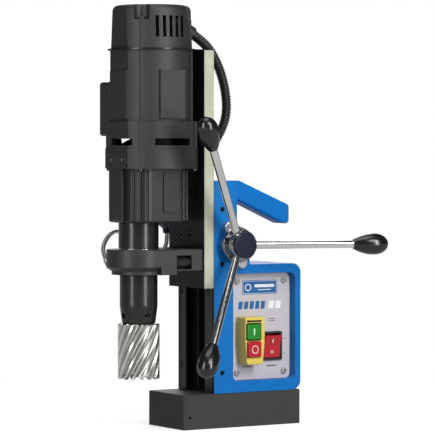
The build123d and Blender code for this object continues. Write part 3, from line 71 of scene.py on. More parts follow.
def noise(tree, scale, detail=3.0, roughness=0.55, stretch=None):
    """Procedural noise in object coordinates, per metre, and the node's value socket."""
    coords = make_node(tree, "ShaderNodeTexCoord")
    mapping = make_node(tree, "ShaderNodeMapping")
    if stretch:
        mapping.inputs["Scale"].default_value = stretch
    texture = make_node(
        tree,
        "ShaderNodeTexNoise",
        [("Scale", scale), ("Detail", detail), ("Roughness", roughness)],
    )
    tree.links.new(coords.outputs["Object"], mapping.inputs["Vector"])
    tree.links.new(mapping.outputs["Vector"], texture.inputs["Vector"])
    return texture.outputs["Fac"]


def ramp(tree, source, low, high, start=0.3, end=0.7):
    """A colour or value that runs from low to high as source goes from start to end."""
    node = make_node(tree, "ShaderNodeValToRGB")
    node.color_ramp.elements[0].position = start
    node.color_ramp.elements[1].position = end
    for element, value in zip(node.color_ramp.elements, (low, high)):
        element.color = (*value, 1) if isinstance(value, tuple) else (value, value, value, 1)
    tree.links.new(source, node.inputs["Fac"])
    return node.outputs["Color"]


def add_bump(tree, shader, source, height, rounding=0.0):
    """Surface relief of this height, over edges rounded by this radius, in metres."""
    bump = make_node(tree, "ShaderNodeBump", [("Strength", 1.0), ("Distance", height)])
    tree.links.new(source, bump.inputs["Height"])
    if rounding:
        edge = make_node(tree, "ShaderNodeBevel", [("Radius", rounding)], samples=4)
        tree.links.new(edge.outputs["Normal"], bump.inputs["Normal"])
    tree.links.new(bump.outputs["Normal"], shader.inputs["Normal"])


def finish(
    name,
    colour,
    shade,
    rough,
    rough_end,
    metal=0.0,
    grain=900.0,
    relief=0.00002,
    rounding=0.0004,
    stretch=None,
    coat=0.0,
    coat_rough=0.1,
    spread=60.0,
    spec=0.5,
):
    """A finish that drifts from colour to shade, with grain, uneven gloss and soft edges."""
    mat, tree, shader = node_material(name)
    drift = noise(tree, spread, 4.0, 0.6)
    tree.links.new(ramp(tree, drift, colour, shade), shader.inputs["Base Color"])
    fine = noise(tree, grain, 2.0, 0.5, stretch)
    tree.links.new(ramp(tree, fine, rough, rough_end), shader.inputs["Roughness"])
    add_bump(tree, shader, fine, relief, rounding)
    shader.inputs["Metallic"].default_value = metal
    shader.inputs["Coat Weight"].default_value = coat
    shader.inputs["Coat Roughness"].default_value = coat_rough
    shader.inputs["Specular IOR Level"].default_value = spec
    return mat


MAT = {
    "blue": finish("blue_enamel", (0.0004, 0.165, 0.52), (0.0003, 0.145, 0.465), 0.34, 0.46,
                   grain=420, relief=0.00003, rounding=0.0008, coat=0.03, coat_rough=0.12,
                   spec=0.15),
    "black_plastic": finish("black_moulded_plastic", (0.013, 0.013, 0.0135), (0.009, 0.009, 0.0095),
                            0.5, 0.62, grain=2600, relief=0.00002, rounding=0.0006, spec=0.62),
    "black_metal": finish("black_enamelled_metal", (0.012, 0.012, 0.0125), (0.008, 0.008, 0.0085),
                          0.36, 0.5, grain=900, relief=0.00002, rounding=0.0005),
    "black_gloss": finish("black_gloss", (0.006, 0.006, 0.006), (0.004, 0.004, 0.0045), 0.2, 0.3,
                          grain=500, relief=0.00001, rounding=0.0005, coat=0.4, coat_rough=0.08),
    "black_oxide": finish("black_oxide_steel", (0.042, 0.044, 0.042), (0.028, 0.029, 0.028),
                          0.22, 0.32, metal=0.7, grain=1100, relief=0.000008, rounding=0.0005,
                          stretch=(1, 1, 6)),
    "knob": finish("knob_phenolic", (0.009, 0.009, 0.0095), (0.006, 0.006, 0.0065), 0.2, 0.26,
                   grain=500, relief=0.0, rounding=0.0, spec=0.6),
    "bracket": finish("bracket_enamel", (0.026, 0.027, 0.026), (0.019, 0.02, 0.019), 0.4, 0.52,
                      grain=1300, relief=0.00004, rounding=0.0008),
    "base_black": finish("base_black_satin", (0.042, 0.041, 0.04), (0.033, 0.033, 0.032), 0.5, 0.62,
                         grain=1300, relief=0.00003, rounding=0.0006, spec=0.35),
    "gib_dark": finish("gib_steel_dark", (0.05, 0.048, 0.04), (0.036, 0.035, 0.029), 0.4, 0.52,
                       metal=0.3, grain=1300, relief=0.00001, rounding=0.0005,
                       stretch=(1, 1, 0.05)),
    "steel": finish("ground_steel", (0.46, 0.46, 0.43), (0.36, 0.36, 0.33), 0.3, 0.44, metal=1.0,
                    grain=1500, relief=0.000006, rounding=0.0004, stretch=(1, 1, 0.04)),
    "bright": finish("bright_steel", (0.66, 0.65, 0.63), (0.58, 0.57, 0.55), 0.22, 0.34, metal=1.0,
                     grain=900, relief=0.000004, rounding=0.0003),
    "chrome": finish("chrome", (0.8, 0.79, 0.77), (0.74, 0.73, 0.71), 0.09, 0.13, metal=1.0,
                     grain=300, relief=0.0, rounding=0.0),
    "dark_chrome": finish("dark_chrome", (0.3, 0.3, 0.31), (0.24, 0.24, 0.25), 0.1, 0.18, metal=1.0,
                          grain=500, relief=0.0, rounding=0.0004),
    "tool_steel": finish("tool_steel", (0.78, 0.77, 0.72), (0.64, 0.63, 0.58), 0.2, 0.32, metal=1.0,
                         grain=2500, relief=0.000004, rounding=0.0002),
    # Darker steel for the cutter's gullets: painted shade in the flutes, which are ground like the
    # lands.
    "gullet_painted_shade": finish("gullet_painted_shade", (0.42, 0.415, 0.39), (0.3, 0.295, 0.275), 0.3, 0.42,
                          metal=1.0, grain=2500, relief=0.000004, rounding=0.0002),
    "zinc": finish("zinc_plated", (0.62, 0.62, 0.64), (0.5, 0.51, 0.54), 0.26, 0.4, metal=1.0,
                   grain=1500, relief=0.00001, rounding=0.0002),
    "panel": finish("panel_silver", (0.54, 0.51, 0.545), (0.5, 0.475, 0.51), 0.42, 0.52, metal=0.0,
                    grain=2500, relief=0.000004, rounding=0.0004, stretch=(1, 0.05, 1)),
    "yellow": finish("yellow_plastic", (0.74, 0.58, 0.1), (0.68, 0.53, 0.085), 0.32, 0.42,
                     grain=1800, relief=0.00001, rounding=0.0006),
    "green": finish("green_plastic", (0.003, 0.25, 0.012), (0.002, 0.21, 0.009), 0.22, 0.3,
                    grain=1200, relief=0.000006, rounding=0.0006, coat=0.2),
    "red": finish("red_plastic", (0.5, 0.004, 0.014), (0.44, 0.003, 0.011), 0.22, 0.3,
                  grain=1200, relief=0.000006, rounding=0.0006, coat=0.2),
    "navy": finish("navy_plastic", (0.006, 0.011, 0.03), (0.004, 0.008, 0.022), 0.3, 0.42,
                   grain=700, relief=0.00001, rounding=0.0006, spec=0.3),
    "white": finish("white_print", (0.85, 0.85, 0.85), (0.78, 0.78, 0.78), 0.4, 0.5,
                    grain=1500, relief=0.000004, rounding=0.0),
    "blue_print": finish("blue_print", (0.003, 0.12, 0.33), (0.002, 0.1, 0.29), 0.35, 0.45,
                         grain=1500, relief=0.000004, rounding=0.0),
    "grey_print": finish("grey_print", (0.07, 0.08, 0.1), (0.05, 0.06, 0.08), 0.4, 0.5,
                         grain=1500, relief=0.000004, rounding=0.0),
    "copper": finish("copper_winding", (0.7, 0.28, 0.12), (0.55, 0.2, 0.08), 0.3, 0.45, metal=1.0,
                     grain=1800, relief=0.00003, rounding=0.0),
    "resin": finish("potting_resin", (0.03, 0.025, 0.02), (0.02, 0.017, 0.015), 0.35, 0.5,
                    grain=400, relief=0.00002, rounding=0.0002),
    "board": finish("circuit_board", (0.01, 0.1, 0.03), (0.008, 0.08, 0.025), 0.35, 0.5,
                    grain=900, relief=0.00001, rounding=0.0),
    "carbon": finish("carbon", (0.02, 0.02, 0.02), (0.03, 0.03, 0.03), 0.5, 0.65,
                     grain=1800, relief=0.00001, rounding=0.0),
    "hose": finish("hose_rubber", (0.014, 0.014, 0.015), (0.01, 0.01, 0.011), 0.28, 0.4,
                   grain=1800, relief=0.00001, rounding=0.0),
    "clear_tube": finish("clear_tube", (0.5, 0.52, 0.53), (0.42, 0.44, 0.46), 0.12, 0.22,
                         grain=600, relief=0.000005, rounding=0.0, coat=0.6, coat_rough=0.05),
}
tube_shader = MAT["clear_tube"].node_tree.nodes["Principled BSDF"]
tube_shader.inputs["Transmission Weight"].default_value = 0.45

# What the finishes made of two share: their gloss, grain, relief and edge rounding.
SPLIT_SPECULAR, SPLIT_SPREAD, SPLIT_GRAIN = 0.2, 60, 1300
SPLIT_RELIEF, SPLIT_ROUNDING = 0.000015, 0.0004


def two_finishes(name, first, second):
    """A material that mixes two finishes, its tree, and the socket that picks the second."""
    mat, tree, shader = node_material(name)
    output = tree.nodes["Material Output"]
    tree.nodes.remove(shader)
    mix = make_node(tree, "ShaderNodeMixShader")
    for socket, source in ((1, first), (2, second)):
        colour_low, colour_high, rough_low, rough_high, metal = source
        surface = make_node(
            tree,
            "ShaderNodeBsdfPrincipled",
            [("Metallic", metal), ("Specular IOR Level", SPLIT_SPECULAR)],
        )
        drift = noise(tree, SPLIT_SPREAD, 4.0, 0.6)
        tree.links.new(ramp(tree, drift, colour_low, colour_high), surface.inputs["Base Color"])
        fine = noise(tree, SPLIT_GRAIN, 2.0, 0.5, (1, 1, 0.05) if metal else None)
        tree.links.new(ramp(tree, fine, rough_low, rough_high), surface.inputs["Roughness"])
        add_bump(tree, surface, fine, SPLIT_RELIEF, SPLIT_ROUNDING)
        tree.links.new(surface.outputs[0], mix.inputs[socket])
    tree.links.new(mix.outputs[0], output.inputs["Surface"])
    return mat, tree, mix.inputs[0]


def compare(tree, source, operation, value):
    """1 where source is above or below value, and 0 elsewhere."""
    test = make_node(tree, "ShaderNodeMath", [(1, value)], operation=operation)
    tree.links.new(source, test.inputs[0])
    return test.outputs[0]


def split_material(name, middle, sides, half_width):
    """sides beyond this distance from the middle plane of the machine, middle between."""
    mat, tree, choice = two_finishes(name, middle, sides)
    place = make_node(tree, "ShaderNodeSeparateXYZ")
    tree.links.new(make_node(tree, "ShaderNodeTexCoord").outputs["Object"], place.inputs[0])
    reach = make_node(tree, "ShaderNodeMath", operation="ABSOLUTE")
    tree.links.new(place.outputs[0], reach.inputs[0])
    tree.links.new(compare(tree, reach.outputs[0], "GREATER_THAN", half_width), choice)
    return mat


def front_material(name, front, rest, before_y):
    """front where the surface faces -Y and lies before this Y, rest elsewhere."""
    mat, tree, choice = two_finishes(name, rest, front)
    place = make_node(tree, "ShaderNodeSeparateXYZ")
    facing = make_node(tree, "ShaderNodeSeparateXYZ")
    tree.links.new(make_node(tree, "ShaderNodeTexCoord").outputs["Object"], place.inputs[0])
    geometry = make_node(tree, "ShaderNodeNewGeometry")
    tree.links.new(geometry.outputs["True Normal"], facing.inputs[0])
    both = make_node(tree, "ShaderNodeMath", operation="MULTIPLY")
    tree.links.new(compare(tree, place.outputs[1], "LESS_THAN", before_y), both.inputs[0])
    tree.links.new(compare(tree, facing.outputs[1], "LESS_THAN", -0.5), both.inputs[1])
    tree.links.new(both.outputs[0], choice)
    return mat


# Two colours, two roughnesses and the metallic share of each finish that shares a piece.
BLACK_PAINT = ((0.012, 0.012, 0.013), (0.008, 0.008, 0.009), 0.34, 0.46, 0.0)
GROUND_SIDE = ((0.52, 0.535, 0.425), (0.41, 0.42, 0.32), 0.5, 0.62, 0.0)
MACHINED_FRONT = ((0.03, 0.03, 0.03), (0.02, 0.02, 0.02), 0.35, 0.5, 0.4)
BLUE_ENAMEL = ((0.0004, 0.165, 0.52), (0.0003, 0.145, 0.465), 0.34, 0.46, 0.0)
CARRIAGE_PAINT_HALF = 0.0394
HOUSING_FRONT_Y = -0.037
MAT["carriage"] = split_material(
    "carriage_plate_finish", BLACK_PAINT, GROUND_SIDE, CARRIAGE_PAINT_HALF)
MAT["housing"] = front_material("housing_finish", MACHINED_FRONT, BLUE_ENAMEL, HOUSING_FRONT_Y)

NODE_FINISH = {
    "magnet_base": "base_black", "magnet_coil": "copper", "coil_potting": "resin",
    "housing": "housing", "guide_block": "black_metal", "gib_strip_left": "black_metal",
    "gib_strip_right": "gib_dark", "gib_screws": "black_oxide", "gib_adjust_screws": "black_oxide",
    "base_bolts": "zinc", "carry_handle": "blue", "control_panel": "panel",
    "panel_screws": "steel", "switch_housing": "yellow", "rocker_bezel": "black_plastic",
    "circuit_board": "board", "mains_gland": "black_plastic",
    "conduit_gland_lower": "black_plastic", "pinion_bush": "zinc",
    "carriage_plate": "carriage", "dovetail_slide": "steel", "slide_screws": "black_oxide",
    "feed_rack": "steel", "spindle_bracket": "bracket", "bracket_bolts": "black_oxide",
    "quill_tube": "black_oxide", "spindle_bearings": "bright", "gearbox_case": "black_metal",
    "motor_flange": "black_plastic", "flange_screws": "black_oxide", "motor_body": "black_plastic",
    "stator": "copper", "carbon_brushes": "carbon", "stay_plate": "black_oxide",
    "motor_cap": "black_plastic", "cap_screws": "black_oxide",
    "conduit_gland_upper": "black_plastic", "speed_module": "black_plastic",
    "rating_plate": "black_metal", "coolant_bottle": "navy",
    "bottle_cap": "black_plastic", "bottle_bracket": "black_metal", "coolant_nipple": "zinc",
    "armature_bearings": "bright", "pinion_shaft": "bright", "hub": "dark_chrome",
    "hub_cap": "navy", "spokes": "chrome", "knobs": "knob",
    "arbor": "black_oxide", "set_screws": "black_metal", "annular_cutter": "tool_steel",
    "spindle_gear": "bright", "intermediate_gear": "bright", "armature": "copper",
    "start_button": "green", "stop_button": "red", "rocker_switch": "red",
    "conduit_hose": "hose", "coolant_tube": "clear_tube",
}
for node_name, node_object in NODES.items():
    node_object.data.materials.clear()
    node_object.data.materials.append(MAT[NODE_FINISH[node_name]])


# ------------------------------------------------------------------ mesh helpers
def new_piece(name, vertices, faces, material, body=None, smooth=35.0):
    """A mesh object with one material, smooth up to an angle in degrees, riding on a body."""
    mesh = bpy.data.meshes.new(name)
    mesh.from_pydata(vertices, [], faces)
    mesh.validate()
    mesh.update()
    mesh.materials.append(MAT[material])
    mesh.shade_smooth()
    mesh.set_sharp_from_angle(angle=radians(smooth))
    piece = bpy.data.objects.new(name, mesh)
    bpy.context.scene.collection.objects.link(piece)
    if body:
        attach(piece, body)
    return piece


def ring_faces(rings, columns, close_rings=False):
    """Quads between each two successive rings of the same number of points."""
    faces = []
    last = rings if close_rings else rings - 1
    for ring in range(last):
        below, above = ring * columns, ((ring + 1) % rings) * columns
        for column in range(columns):
            after = (column + 1) % columns
            faces.append((below + column, below + after, above + after, above + column))
    return faces


def spline_points(name, route):
    """Points along the NURBS spline whose control points are the route, in order."""
    data = bpy.data.curves.new(name, "CURVE")
    data.dimensions = "3D"
    data.resolution_u = 32
    spline = data.splines.new("NURBS")
    spline.points.add(len(route) - 1)
    for point, place in zip(spline.points, route):
        point.co = (*place, 1.0)
    spline.order_u = 3
    spline.use_endpoint_u = True
    line = bpy.data.objects.new(name, data)
    bpy.context.scene.collection.objects.link(line)
    bpy.context.view_layer.update()
    mesh = bpy.data.meshes.new_from_object(line)
    points = [vertex.co.copy() for vertex in mesh.vertices]
    bpy.data.objects.remove(line)
    bpy.data.meshes.remove(mesh)
    return points


def along(points, step):
    """Points every step of length along a line of points, ends included."""
    reached = [0.0]
    for before, after in zip(points, points[1:]):
        reached.append(reached[-1] + (after - before).length)
    count = max(2, round(reached[-1] / step))
    places, index = [], 0
    for number in range(count + 1):
        target = reached[-1] * number / count
        while index < len(points) - 2 and reached[index + 1] < target:
            index += 1
        share = (target - reached[index]) / (reached[index + 1] - reached[index])
        places.append(points[index].lerp(points[index + 1], share))
    return places


def tube_mesh(places, radii, columns):
    """Vertices and faces of a closed tube that follows places without twisting."""
    vertices = []
    normal = None
    for number, place in enumerate(places):
        before = places[max(number - 1, 0)]
        after = places[min(number + 1, len(places) - 1)]
        ahead = (after - before).normalized()
        if normal is None:
            normal = ahead.orthogonal()
        normal = (normal - ahead * normal.dot(ahead)).normalized()
        across = ahead.cross(normal)
        for column in range(columns):
            angle = 2 * pi * column / columns
            side = normal * cos(angle) + across * sin(angle)
            vertices.append(place + side * radii[number])
    faces = ring_faces(len(places), columns)
    faces.append(tuple(reversed(range(columns))))
    last = (len(places) - 1) * columns
    faces.append(tuple(range(last, last + columns)))
    return vertices, faces


# ------------------------------------------------------------------ conduit and coolant tube
# The routes repeat those in the part's source, in metres.
HOSE_ROUTE = [
    (0.0, -0.044, 0.4545),
    (0.0, -0.031, 0.447),
    (-0.0005, -0.0173, 0.434),
    (-0.001, -0.005, 0.4125),
    (-0.0022, 0.003, 0.387),
    (-0.0042, 0.0055, 0.364),
    (-0.0082, 0.002, 0.346),
    (-0.0132, -0.005, 0.3305),
    (-0.0166, -0.012, 0.3155),
    (-0.018, -0.0155, 0.301),
    (-0.018, -0.0155, 0.289),
]
TUBE_ROUTE = [
    (-0.068, -0.038, 0.222),
    (-0.068, -0.038, 0.210),
    (-0.068, -0.043, 0.2015),
    (-0.0676, -0.051, 0.1965),
    (-0.0665, -0.062, 0.196),
    (-0.064, -0.076, 0.2015),
    (-0.0605, -0.091, 0.215),
    (-0.058, -0.106, 0.2265),
    (-0.054, -0.121, 0.225),
    (-0.047, -0.135, 0.214),
    (-0.0403, -0.1407, 0.202),
    (-0.0341, -0.1397, 0.1942),
]
RIB_PITCH = 0.0029
RIB_STEPS = 6
HOSE_R, RIB_HEIGHT, HOSE_COLUMNS = 0.0053, 0.0007, 28
TUBE_R, TUBE_STEP, TUBE_COLUMNS = 0.0025, 0.0012, 24
hose_line = spline_points("hose_line", HOSE_ROUTE)
hose_places = along(hose_line, RIB_PITCH / RIB_STEPS)
hose_radii = []
for number in range(len(hose_places)):
    phase = (number % RIB_STEPS) / RIB_STEPS
    hose_radii.append(HOSE_R + RIB_HEIGHT * cos(2 * pi * phase))
hose_shape = tube_mesh(hose_places, hose_radii, HOSE_COLUMNS)
hose = new_piece("conduit_corrugated", *hose_shape, "hose", smooth=80)
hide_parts("conduit_hose")
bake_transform(hose)

tube_line = spline_points("tube_line", TUBE_ROUTE)
tube_places = along(tube_line, TUBE_STEP)
tube_shape = tube_mesh(tube_places, [TUBE_R] * len(tube_places), TUBE_COLUMNS)
coolant = new_piece("coolant_line", *tube_shape, "clear_tube", smooth=60)
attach(coolant, "carriage")
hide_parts("coolant_tube")

# ------------------------------------------------------------------ annular cutter
SPINDLE_Y = -0.1161
CUTTER_Z0, CUTTER_Z1 = 0.058, 0.1217
CUTTER_R, CUTTER_BORE_R, SHANK_R = 0.024, 0.0185, 0.0095
CUTTER_ROOF = 0.11
TEETH = 14
HELIX = tan(radians(28)) / CUTTER_R
# One tooth pitch, as its share of the pitch and how deep it is cut: the land, then the gullet.
TOOTH = [
    (0.0, 0.0), (0.13, 0.0), (0.26, 0.0), (0.33, 0.0011), (0.43, 0.0021), (0.55, 0.0027),
    (0.67, 0.0027), (0.79, 0.0021), (0.89, 0.0012), (0.96, 0.0004),
]
COLUMNS = TEETH * len(TOOTH)
tooth_angles = [2 * pi * (tooth + share) / TEETH for tooth in range(TEETH) for share, _ in TOOTH]
tooth_depths = [depth for _, depth in TOOTH] * TEETH
CUTTER_STEPS = 46
# The cutting edge: how far each of its rings rises, and how much more it rises in the gullets.
BORE_EDGE_RISE, BORE_EDGE_LIFT = 0.0014, 1.1
TIP_RISE, TIP_CUT = 0.0002, 0.4
EDGE_RISE, EDGE_LIFT = 0.0007, 1.3
EDGE_FADE = 9
FLUTED_HEIGHT = CUTTER_Z1 - CUTTER_Z0 - 0.0017
TOP_CHAMFER, SHANK_LENGTH = 0.001, 0.03
cutter_vertices = []


def cutter_ring(radius, z, cut=0.0, lift=0.0):
    """One ring of the cutter, cut by this share of the gullet's depth and lifted in the gullets."""
    for angle, depth in zip(tooth_angles, tooth_depths):
        turn = angle + HELIX * (z - CUTTER_Z0)
        reach = radius - cut * depth
        height = z + lift * depth
        cutter_vertices.append((reach * cos(turn), SPINDLE_Y + reach * sin(turn), height))


cutter_ring(CUTTER_BORE_R, CUTTER_ROOF)
cutter_ring(CUTTER_BORE_R, CUTTER_Z0 + BORE_EDGE_RISE, lift=BORE_EDGE_LIFT)
cutter_ring((CUTTER_BORE_R + CUTTER_R) / 2, CUTTER_Z0 + TIP_RISE, cut=TIP_CUT, lift=EDGE_LIFT)
for step in range(CUTTER_STEPS + 1):
    share = step / CUTTER_STEPS
    edge = EDGE_LIFT * max(0.0, 1 - share * EDGE_FADE)
    cutter_ring(CUTTER_R, CUTTER_Z0 + EDGE_RISE + FLUTED_HEIGHT * share, 1.0, edge)
cutter_ring(CUTTER_R - TOP_CHAMFER, CUTTER_Z1, cut=1.0)
cutter_ring(SHANK_R, CUTTER_Z1)
cutter_ring(SHANK_R, CUTTER_Z1 + SHANK_LENGTH)
cutter_rings = len(cutter_vertices) // COLUMNS
cutter_faces = ring_faces(cutter_rings, COLUMNS)
cutter_faces.append(tuple(reversed(range(COLUMNS))))
last_ring = (cutter_rings - 1) * COLUMNS
cutter_faces.append(tuple(range(last_ring, last_ring + COLUMNS)))
cutter = new_piece("cutter_fluted", cutter_vertices, cutter_faces, "tool_steel", "spindle", 32)
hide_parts("annular_cutter")
GULLET_START = 3
OUTER_RING, TOP_RING = 2, CUTTER_STEPS + 4
# Faces in the gullets take the darker steel, as painted shade in the flutes.
cutter.data.materials.append(MAT["gullet_painted_shade"])
for face in cutter.data.polygons:
    ring, column = divmod(face.index, COLUMNS)
    if OUTER_RING <= ring < TOP_RING and column % len(TOOTH) >= GULLET_START:
        face.material_index = 1


# ------------------------------------------------------------------ printed marks and trim
def bar(y0, z0, y1, z1, slant=0.0):
    """The corners of a flat bar, leaning by slant at its top."""
    return [(y0, z0), (y1, z0), (y1 + slant, z1), (y0 + slant, z1)]


def rounded(y, z, width, height, corner, steps=6):
    """The outline of a rounded rectangle about its middle."""
    outline = []
    for quarter, (sy, sz) in enumerate(((1, -1), (1, 1), (-1, 1), (-1, -1))):
        for step in range(steps + 1):
            angle = radians(90 * (quarter - 1) + 90 * step / steps)
            outline.append((
                y + sy * (width / 2 - corner) + corner * cos(angle),
                z + sz * (height / 2 - corner) + corner * sin(angle),
            ))
    return outline


MARK_SINK = 0.05


def wall(low, high, count):
    """Quads between two outlines of count vertices each, which start at low and high."""
    quads = []
    for k in range(count):
        after = (k + 1) % count
        quads.append((low + k, low + after, high + after, high + k))
    return quads


def marks(name, outlines, material, body, origin, u=(0, 1, 0), v=(0, 0, 1), thick=0.12):
    """Flat raised shapes on one plane, in mm: each an outline, or an outer and an inner one."""
    origin, u, v = Vector(origin), Vector(u).normalized(), Vector(v).normalized()
    out = u.cross(v)
    vertices, faces = [], []
    for shape in outlines:
        rims = shape if isinstance(shape[0], list) else [shape]
        first, count = len(vertices), len(rims[0])
        for height in (-MARK_SINK, thick):
            for rim in rims:
                for a, b in rim:
                    vertices.append((origin + u * a + v * b + out * height) * MM)
        if len(rims) == 1:
            faces.append(tuple(first + count - 1 - k for k in range(count)))
            faces.append(tuple(first + count + k for k in range(count)))
            walls = [(0, count)]
        else:
            walls = [(count, 0), (2 * count, 3 * count), (0, 2 * count), (3 * count, count)]
        for low, high in walls:
            faces.extend(wall(first + low, first + high, count))
    return new_piece(name, vertices, faces, material, body, 30)


# The planes that the marks lie on, in mm: on the panel, its blue plate, the yellow switch housing,
# the two buttons, and the motor's rating plate with its rivets.
PANEL_FACE, BLUE_PLATE_FACE = (29.0, 0, 0), (29.1, 0, 0)
SWITCH_FACE, START_FACE, STOP_FACE = (48.0, 0, 0), (49.6, 0, 0), (51.4, 0, 0)
PLATE_FRONT, RIVET_FACE = (0, -147.1, 0), (0, -147.7, 0)
marks("panel_plate_blue", [rounded(30.0, 160.6, 48, 16.4, 0.6)], "blue_print", "base", PANEL_FACE)
marks("panel_plate_lines", [
    [rounded(30.0, 160.6, 46.2, 14.6, 0.4), rounded(30.0, 160.6, 45.4, 13.8, 0.3)],
    rounded(36.5, 162.2, 27, 3.4, 0.8),
    rounded(36.5, 157.6, 18, 0.9, 0.3),
    [rounded(14.0, 160.6, 8.4, 8.4, 4.1), rounded(14.0, 160.6, 6.4, 6.4, 3.1)],
], "white", "base", BLUE_PLATE_FACE)
marks("panel_title_blue", [
    bar(0.4 + 7.7 * k, 135.4, 5.8 + 7.7 * k, 144.4, 1.2) for k in range(5)
], "blue_print", "base", PANEL_FACE)
marks("panel_title_white", [
    bar(42.0 + 9.6 * k, 135.4, 49.0 + 9.6 * k, 144.2, 1.2) for k in range(2)
], "white", "base", PANEL_FACE)
marks("panel_symbols", [
    bar(42.2, 123.1, 51.2, 123.8), bar(42.2, 120.4, 51.2, 121.1),
    bar(63.2, 99.0, 66.0, 99.8), bar(63.2, 81.8, 66.0, 82.6),
    bar(6.8, 67.8, 19.0, 69.2), bar(39.8, 67.8, 53.4, 69.2),
], "grey_print", "base", PANEL_FACE)
# The button's black surround, and a black bar above it that is painted shade standing in for the
# slot there.
marks("button_surround_and_slot_shade", [
    [rounded(9.8, 110.2, 20.8, 20.8, 2.2), rounded(9.8, 110.2, 18.4, 18.4, 1.8)],
    bar(0.4, 121.4, 20.4, 123.6),
], "black_gloss", "base", SWITCH_FACE, thick=0.2)
marks("start_mark", [rounded(9.8, 110.2, 1.5, 8.0, 0.3)], "white", "start_button", START_FACE)
marks("stop_mark", [[rounded(9.8, 89.8, 8.6, 9.4, 4.25), rounded(9.8, 89.8, 6.9, 7.7, 3.4)]],
      "white", "stop_button", STOP_FACE)
ROCKER_MIDDLE = (28.0, 46.5, 91.5)
TIP = radians(10)
# Each half of the rocker: how far its two ends stand out and up from the middle, and its mark.
ROCKER_MARKS = (
    ("rocker_mark_on", (2.8, 0.0), (4.2, 13.2), [rounded(0, 6.6, 1.2, 5.0, 0.3)]),
    ("rocker_mark_off", (4.2, -13.2), (2.8, 0.0),
     [[rounded(0, 6.6, 3.6, 3.6, 1.75), rounded(0, 6.6, 2.4, 2.4, 1.15)]]),
)
for name, low, high, shape in ROCKER_MARKS:
    ends = []
    for across, up in (low, high):
        ends.append(Vector((
            ROCKER_MIDDLE[0] + across * cos(TIP) + up * sin(TIP),
            ROCKER_MIDDLE[1],
            ROCKER_MIDDLE[2] - across * sin(TIP) + up * cos(TIP),
        )))
    marks(name, shape, "white", "magnet_rocker", ends[0], v=ends[1] - ends[0])
marks("rating_plate_lines", [
    bar(-4.0, 311.5 - 2.6 * k, 14.0 - 3 * (k % 2), 312.2 - 2.6 * k) for k in range(3)
], "grey_print", "carriage", PLATE_FRONT, u=(1, 0, 0))
marks("rating_plate_rivets", [rounded(x, 309.2, 2.2, 2.2, 1.05) for x in (-7.0, 17.0)],
      "zinc", "carriage", RIVET_FACE, u=(1, 0, 0), thick=0.25)
# A black sheet inside the motor flange's window: painted shade standing in for the dark inside of
# the motor.
marks("flange_window_shade", [
    [(-121, 325.7), (-113.2, 325.7), (-114.4, 333.5), (-121, 333.5)],
    [(-113.0, 325.7), (-75, 325.7), (-75, 333.5), (-101.7, 333.5), (-113.2, 328.1)],
], "black_plastic", "carriage", (-44.0, 0, 0), thick=1.5)


def turned_ring(name, profile, centre, material, body, columns=96):
    """A closed ring turned about a vertical axis, from its section's radius and height, in mm."""
    vertices = []
    for radius, height in profile:
        for column in range(columns):
            angle = 2 * pi * column / columns
            x = centre[0] + radius * cos(angle)
            y = centre[1] + radius * sin(angle)
            vertices.append(Vector((x, y, height)) * MM)
    faces = [tuple(reversed(face)) for face in ring_faces(len(profile), columns, True)]
    return new_piece(name, vertices, faces, material, body, 40)


SEAT_SECTION = [(23.0, 206.9), (23.0, 207.7), (24.1, 207.7), (24.6, 207.3), (24.6, 206.9)]
turned_ring("quill_seat_ring", SEAT_SECTION, (0, -116.1), "bright", "carriage")


# ------------------------------------------------------------------ camera, stage and lights
def look_at(location, target):
    """The rotation that points an object's -Z from location to target, upright."""
    return (Vector(target) - Vector(location)).to_track_quat("-Z", "Y").to_euler()


def area_light(name, location, target, size, size_y, power, colour=(1, 1, 1)):
    """A soft rectangular light."""
    data = bpy.data.lights.new(name, "AREA")
    data.shape = "RECTANGLE"
    data.size = size
    data.size_y = size_y
    data.energy = power
    data.color = colour
    lamp = bpy.data.objects.new(name, data)
    lamp.location = location
    lamp.rotation_euler = look_at(location, target)
    bpy.context.scene.collection.objects.link(lamp)
    return lamp


# The camera fitted to the corners of the magnet foot in the photograph.
LENS_MM = 215.17
CAMERA_AT = (2.57787, -1.60809, 0.31844)
CAMERA_AIM = (-0.00436, -0.00704, 0.24156)
camera_data = bpy.data.cameras.new("camera")
camera_data.lens = LENS_MM
camera_data.sensor_width = 36.0
camera_data.clip_start = 0.05
camera_data.clip_end = 60.0
camera = bpy.data.objects.new("camera", camera_data)
camera.location = CAMERA_AT
camera.rotation_euler = look_at(camera.location, CAMERA_AIM)
bpy.context.scene.collection.objects.link(camera)
bpy.context.scene.camera = camera
bpy.context.scene.view_settings.view_transform = "Standard"

FLOOR_R = 20.0
FLOOR_GLOW, FLOOR_IN_GLOSS = 0.62, 0.6
SHADOW_FADE = (0.22, 0.6)
floor_mesh = bpy.data.meshes.new("floor")
floor_build = bmesh.new()
bmesh.ops.create_circle(floor_build, cap_ends=True, radius=FLOOR_R, segments=64)
floor_build.to_mesh(floor_mesh)
floor_build.free()
floor = bpy.data.objects.new("floor", floor_mesh)
bpy.context.scene.collection.objects.link(floor)
floor_mat, floor_tree, floor_shader = node_material("pale_floor")
floor_shader.inputs["Roughness"].default_value = 0.9
floor_shader.inputs["Specular IOR Level"].default_value = 0.05
floor_tint = ramp(floor_tree, noise(floor_tree, 3.0), 0.6, 0.62)
floor_tree.links.new(floor_tint, floor_shader.inputs["Base Color"])
floor_shader.inputs["Emission Color"].default_value = (1, 1, 1, 1)
floor_shader.inputs["Emission Strength"].default_value = FLOOR_GLOW
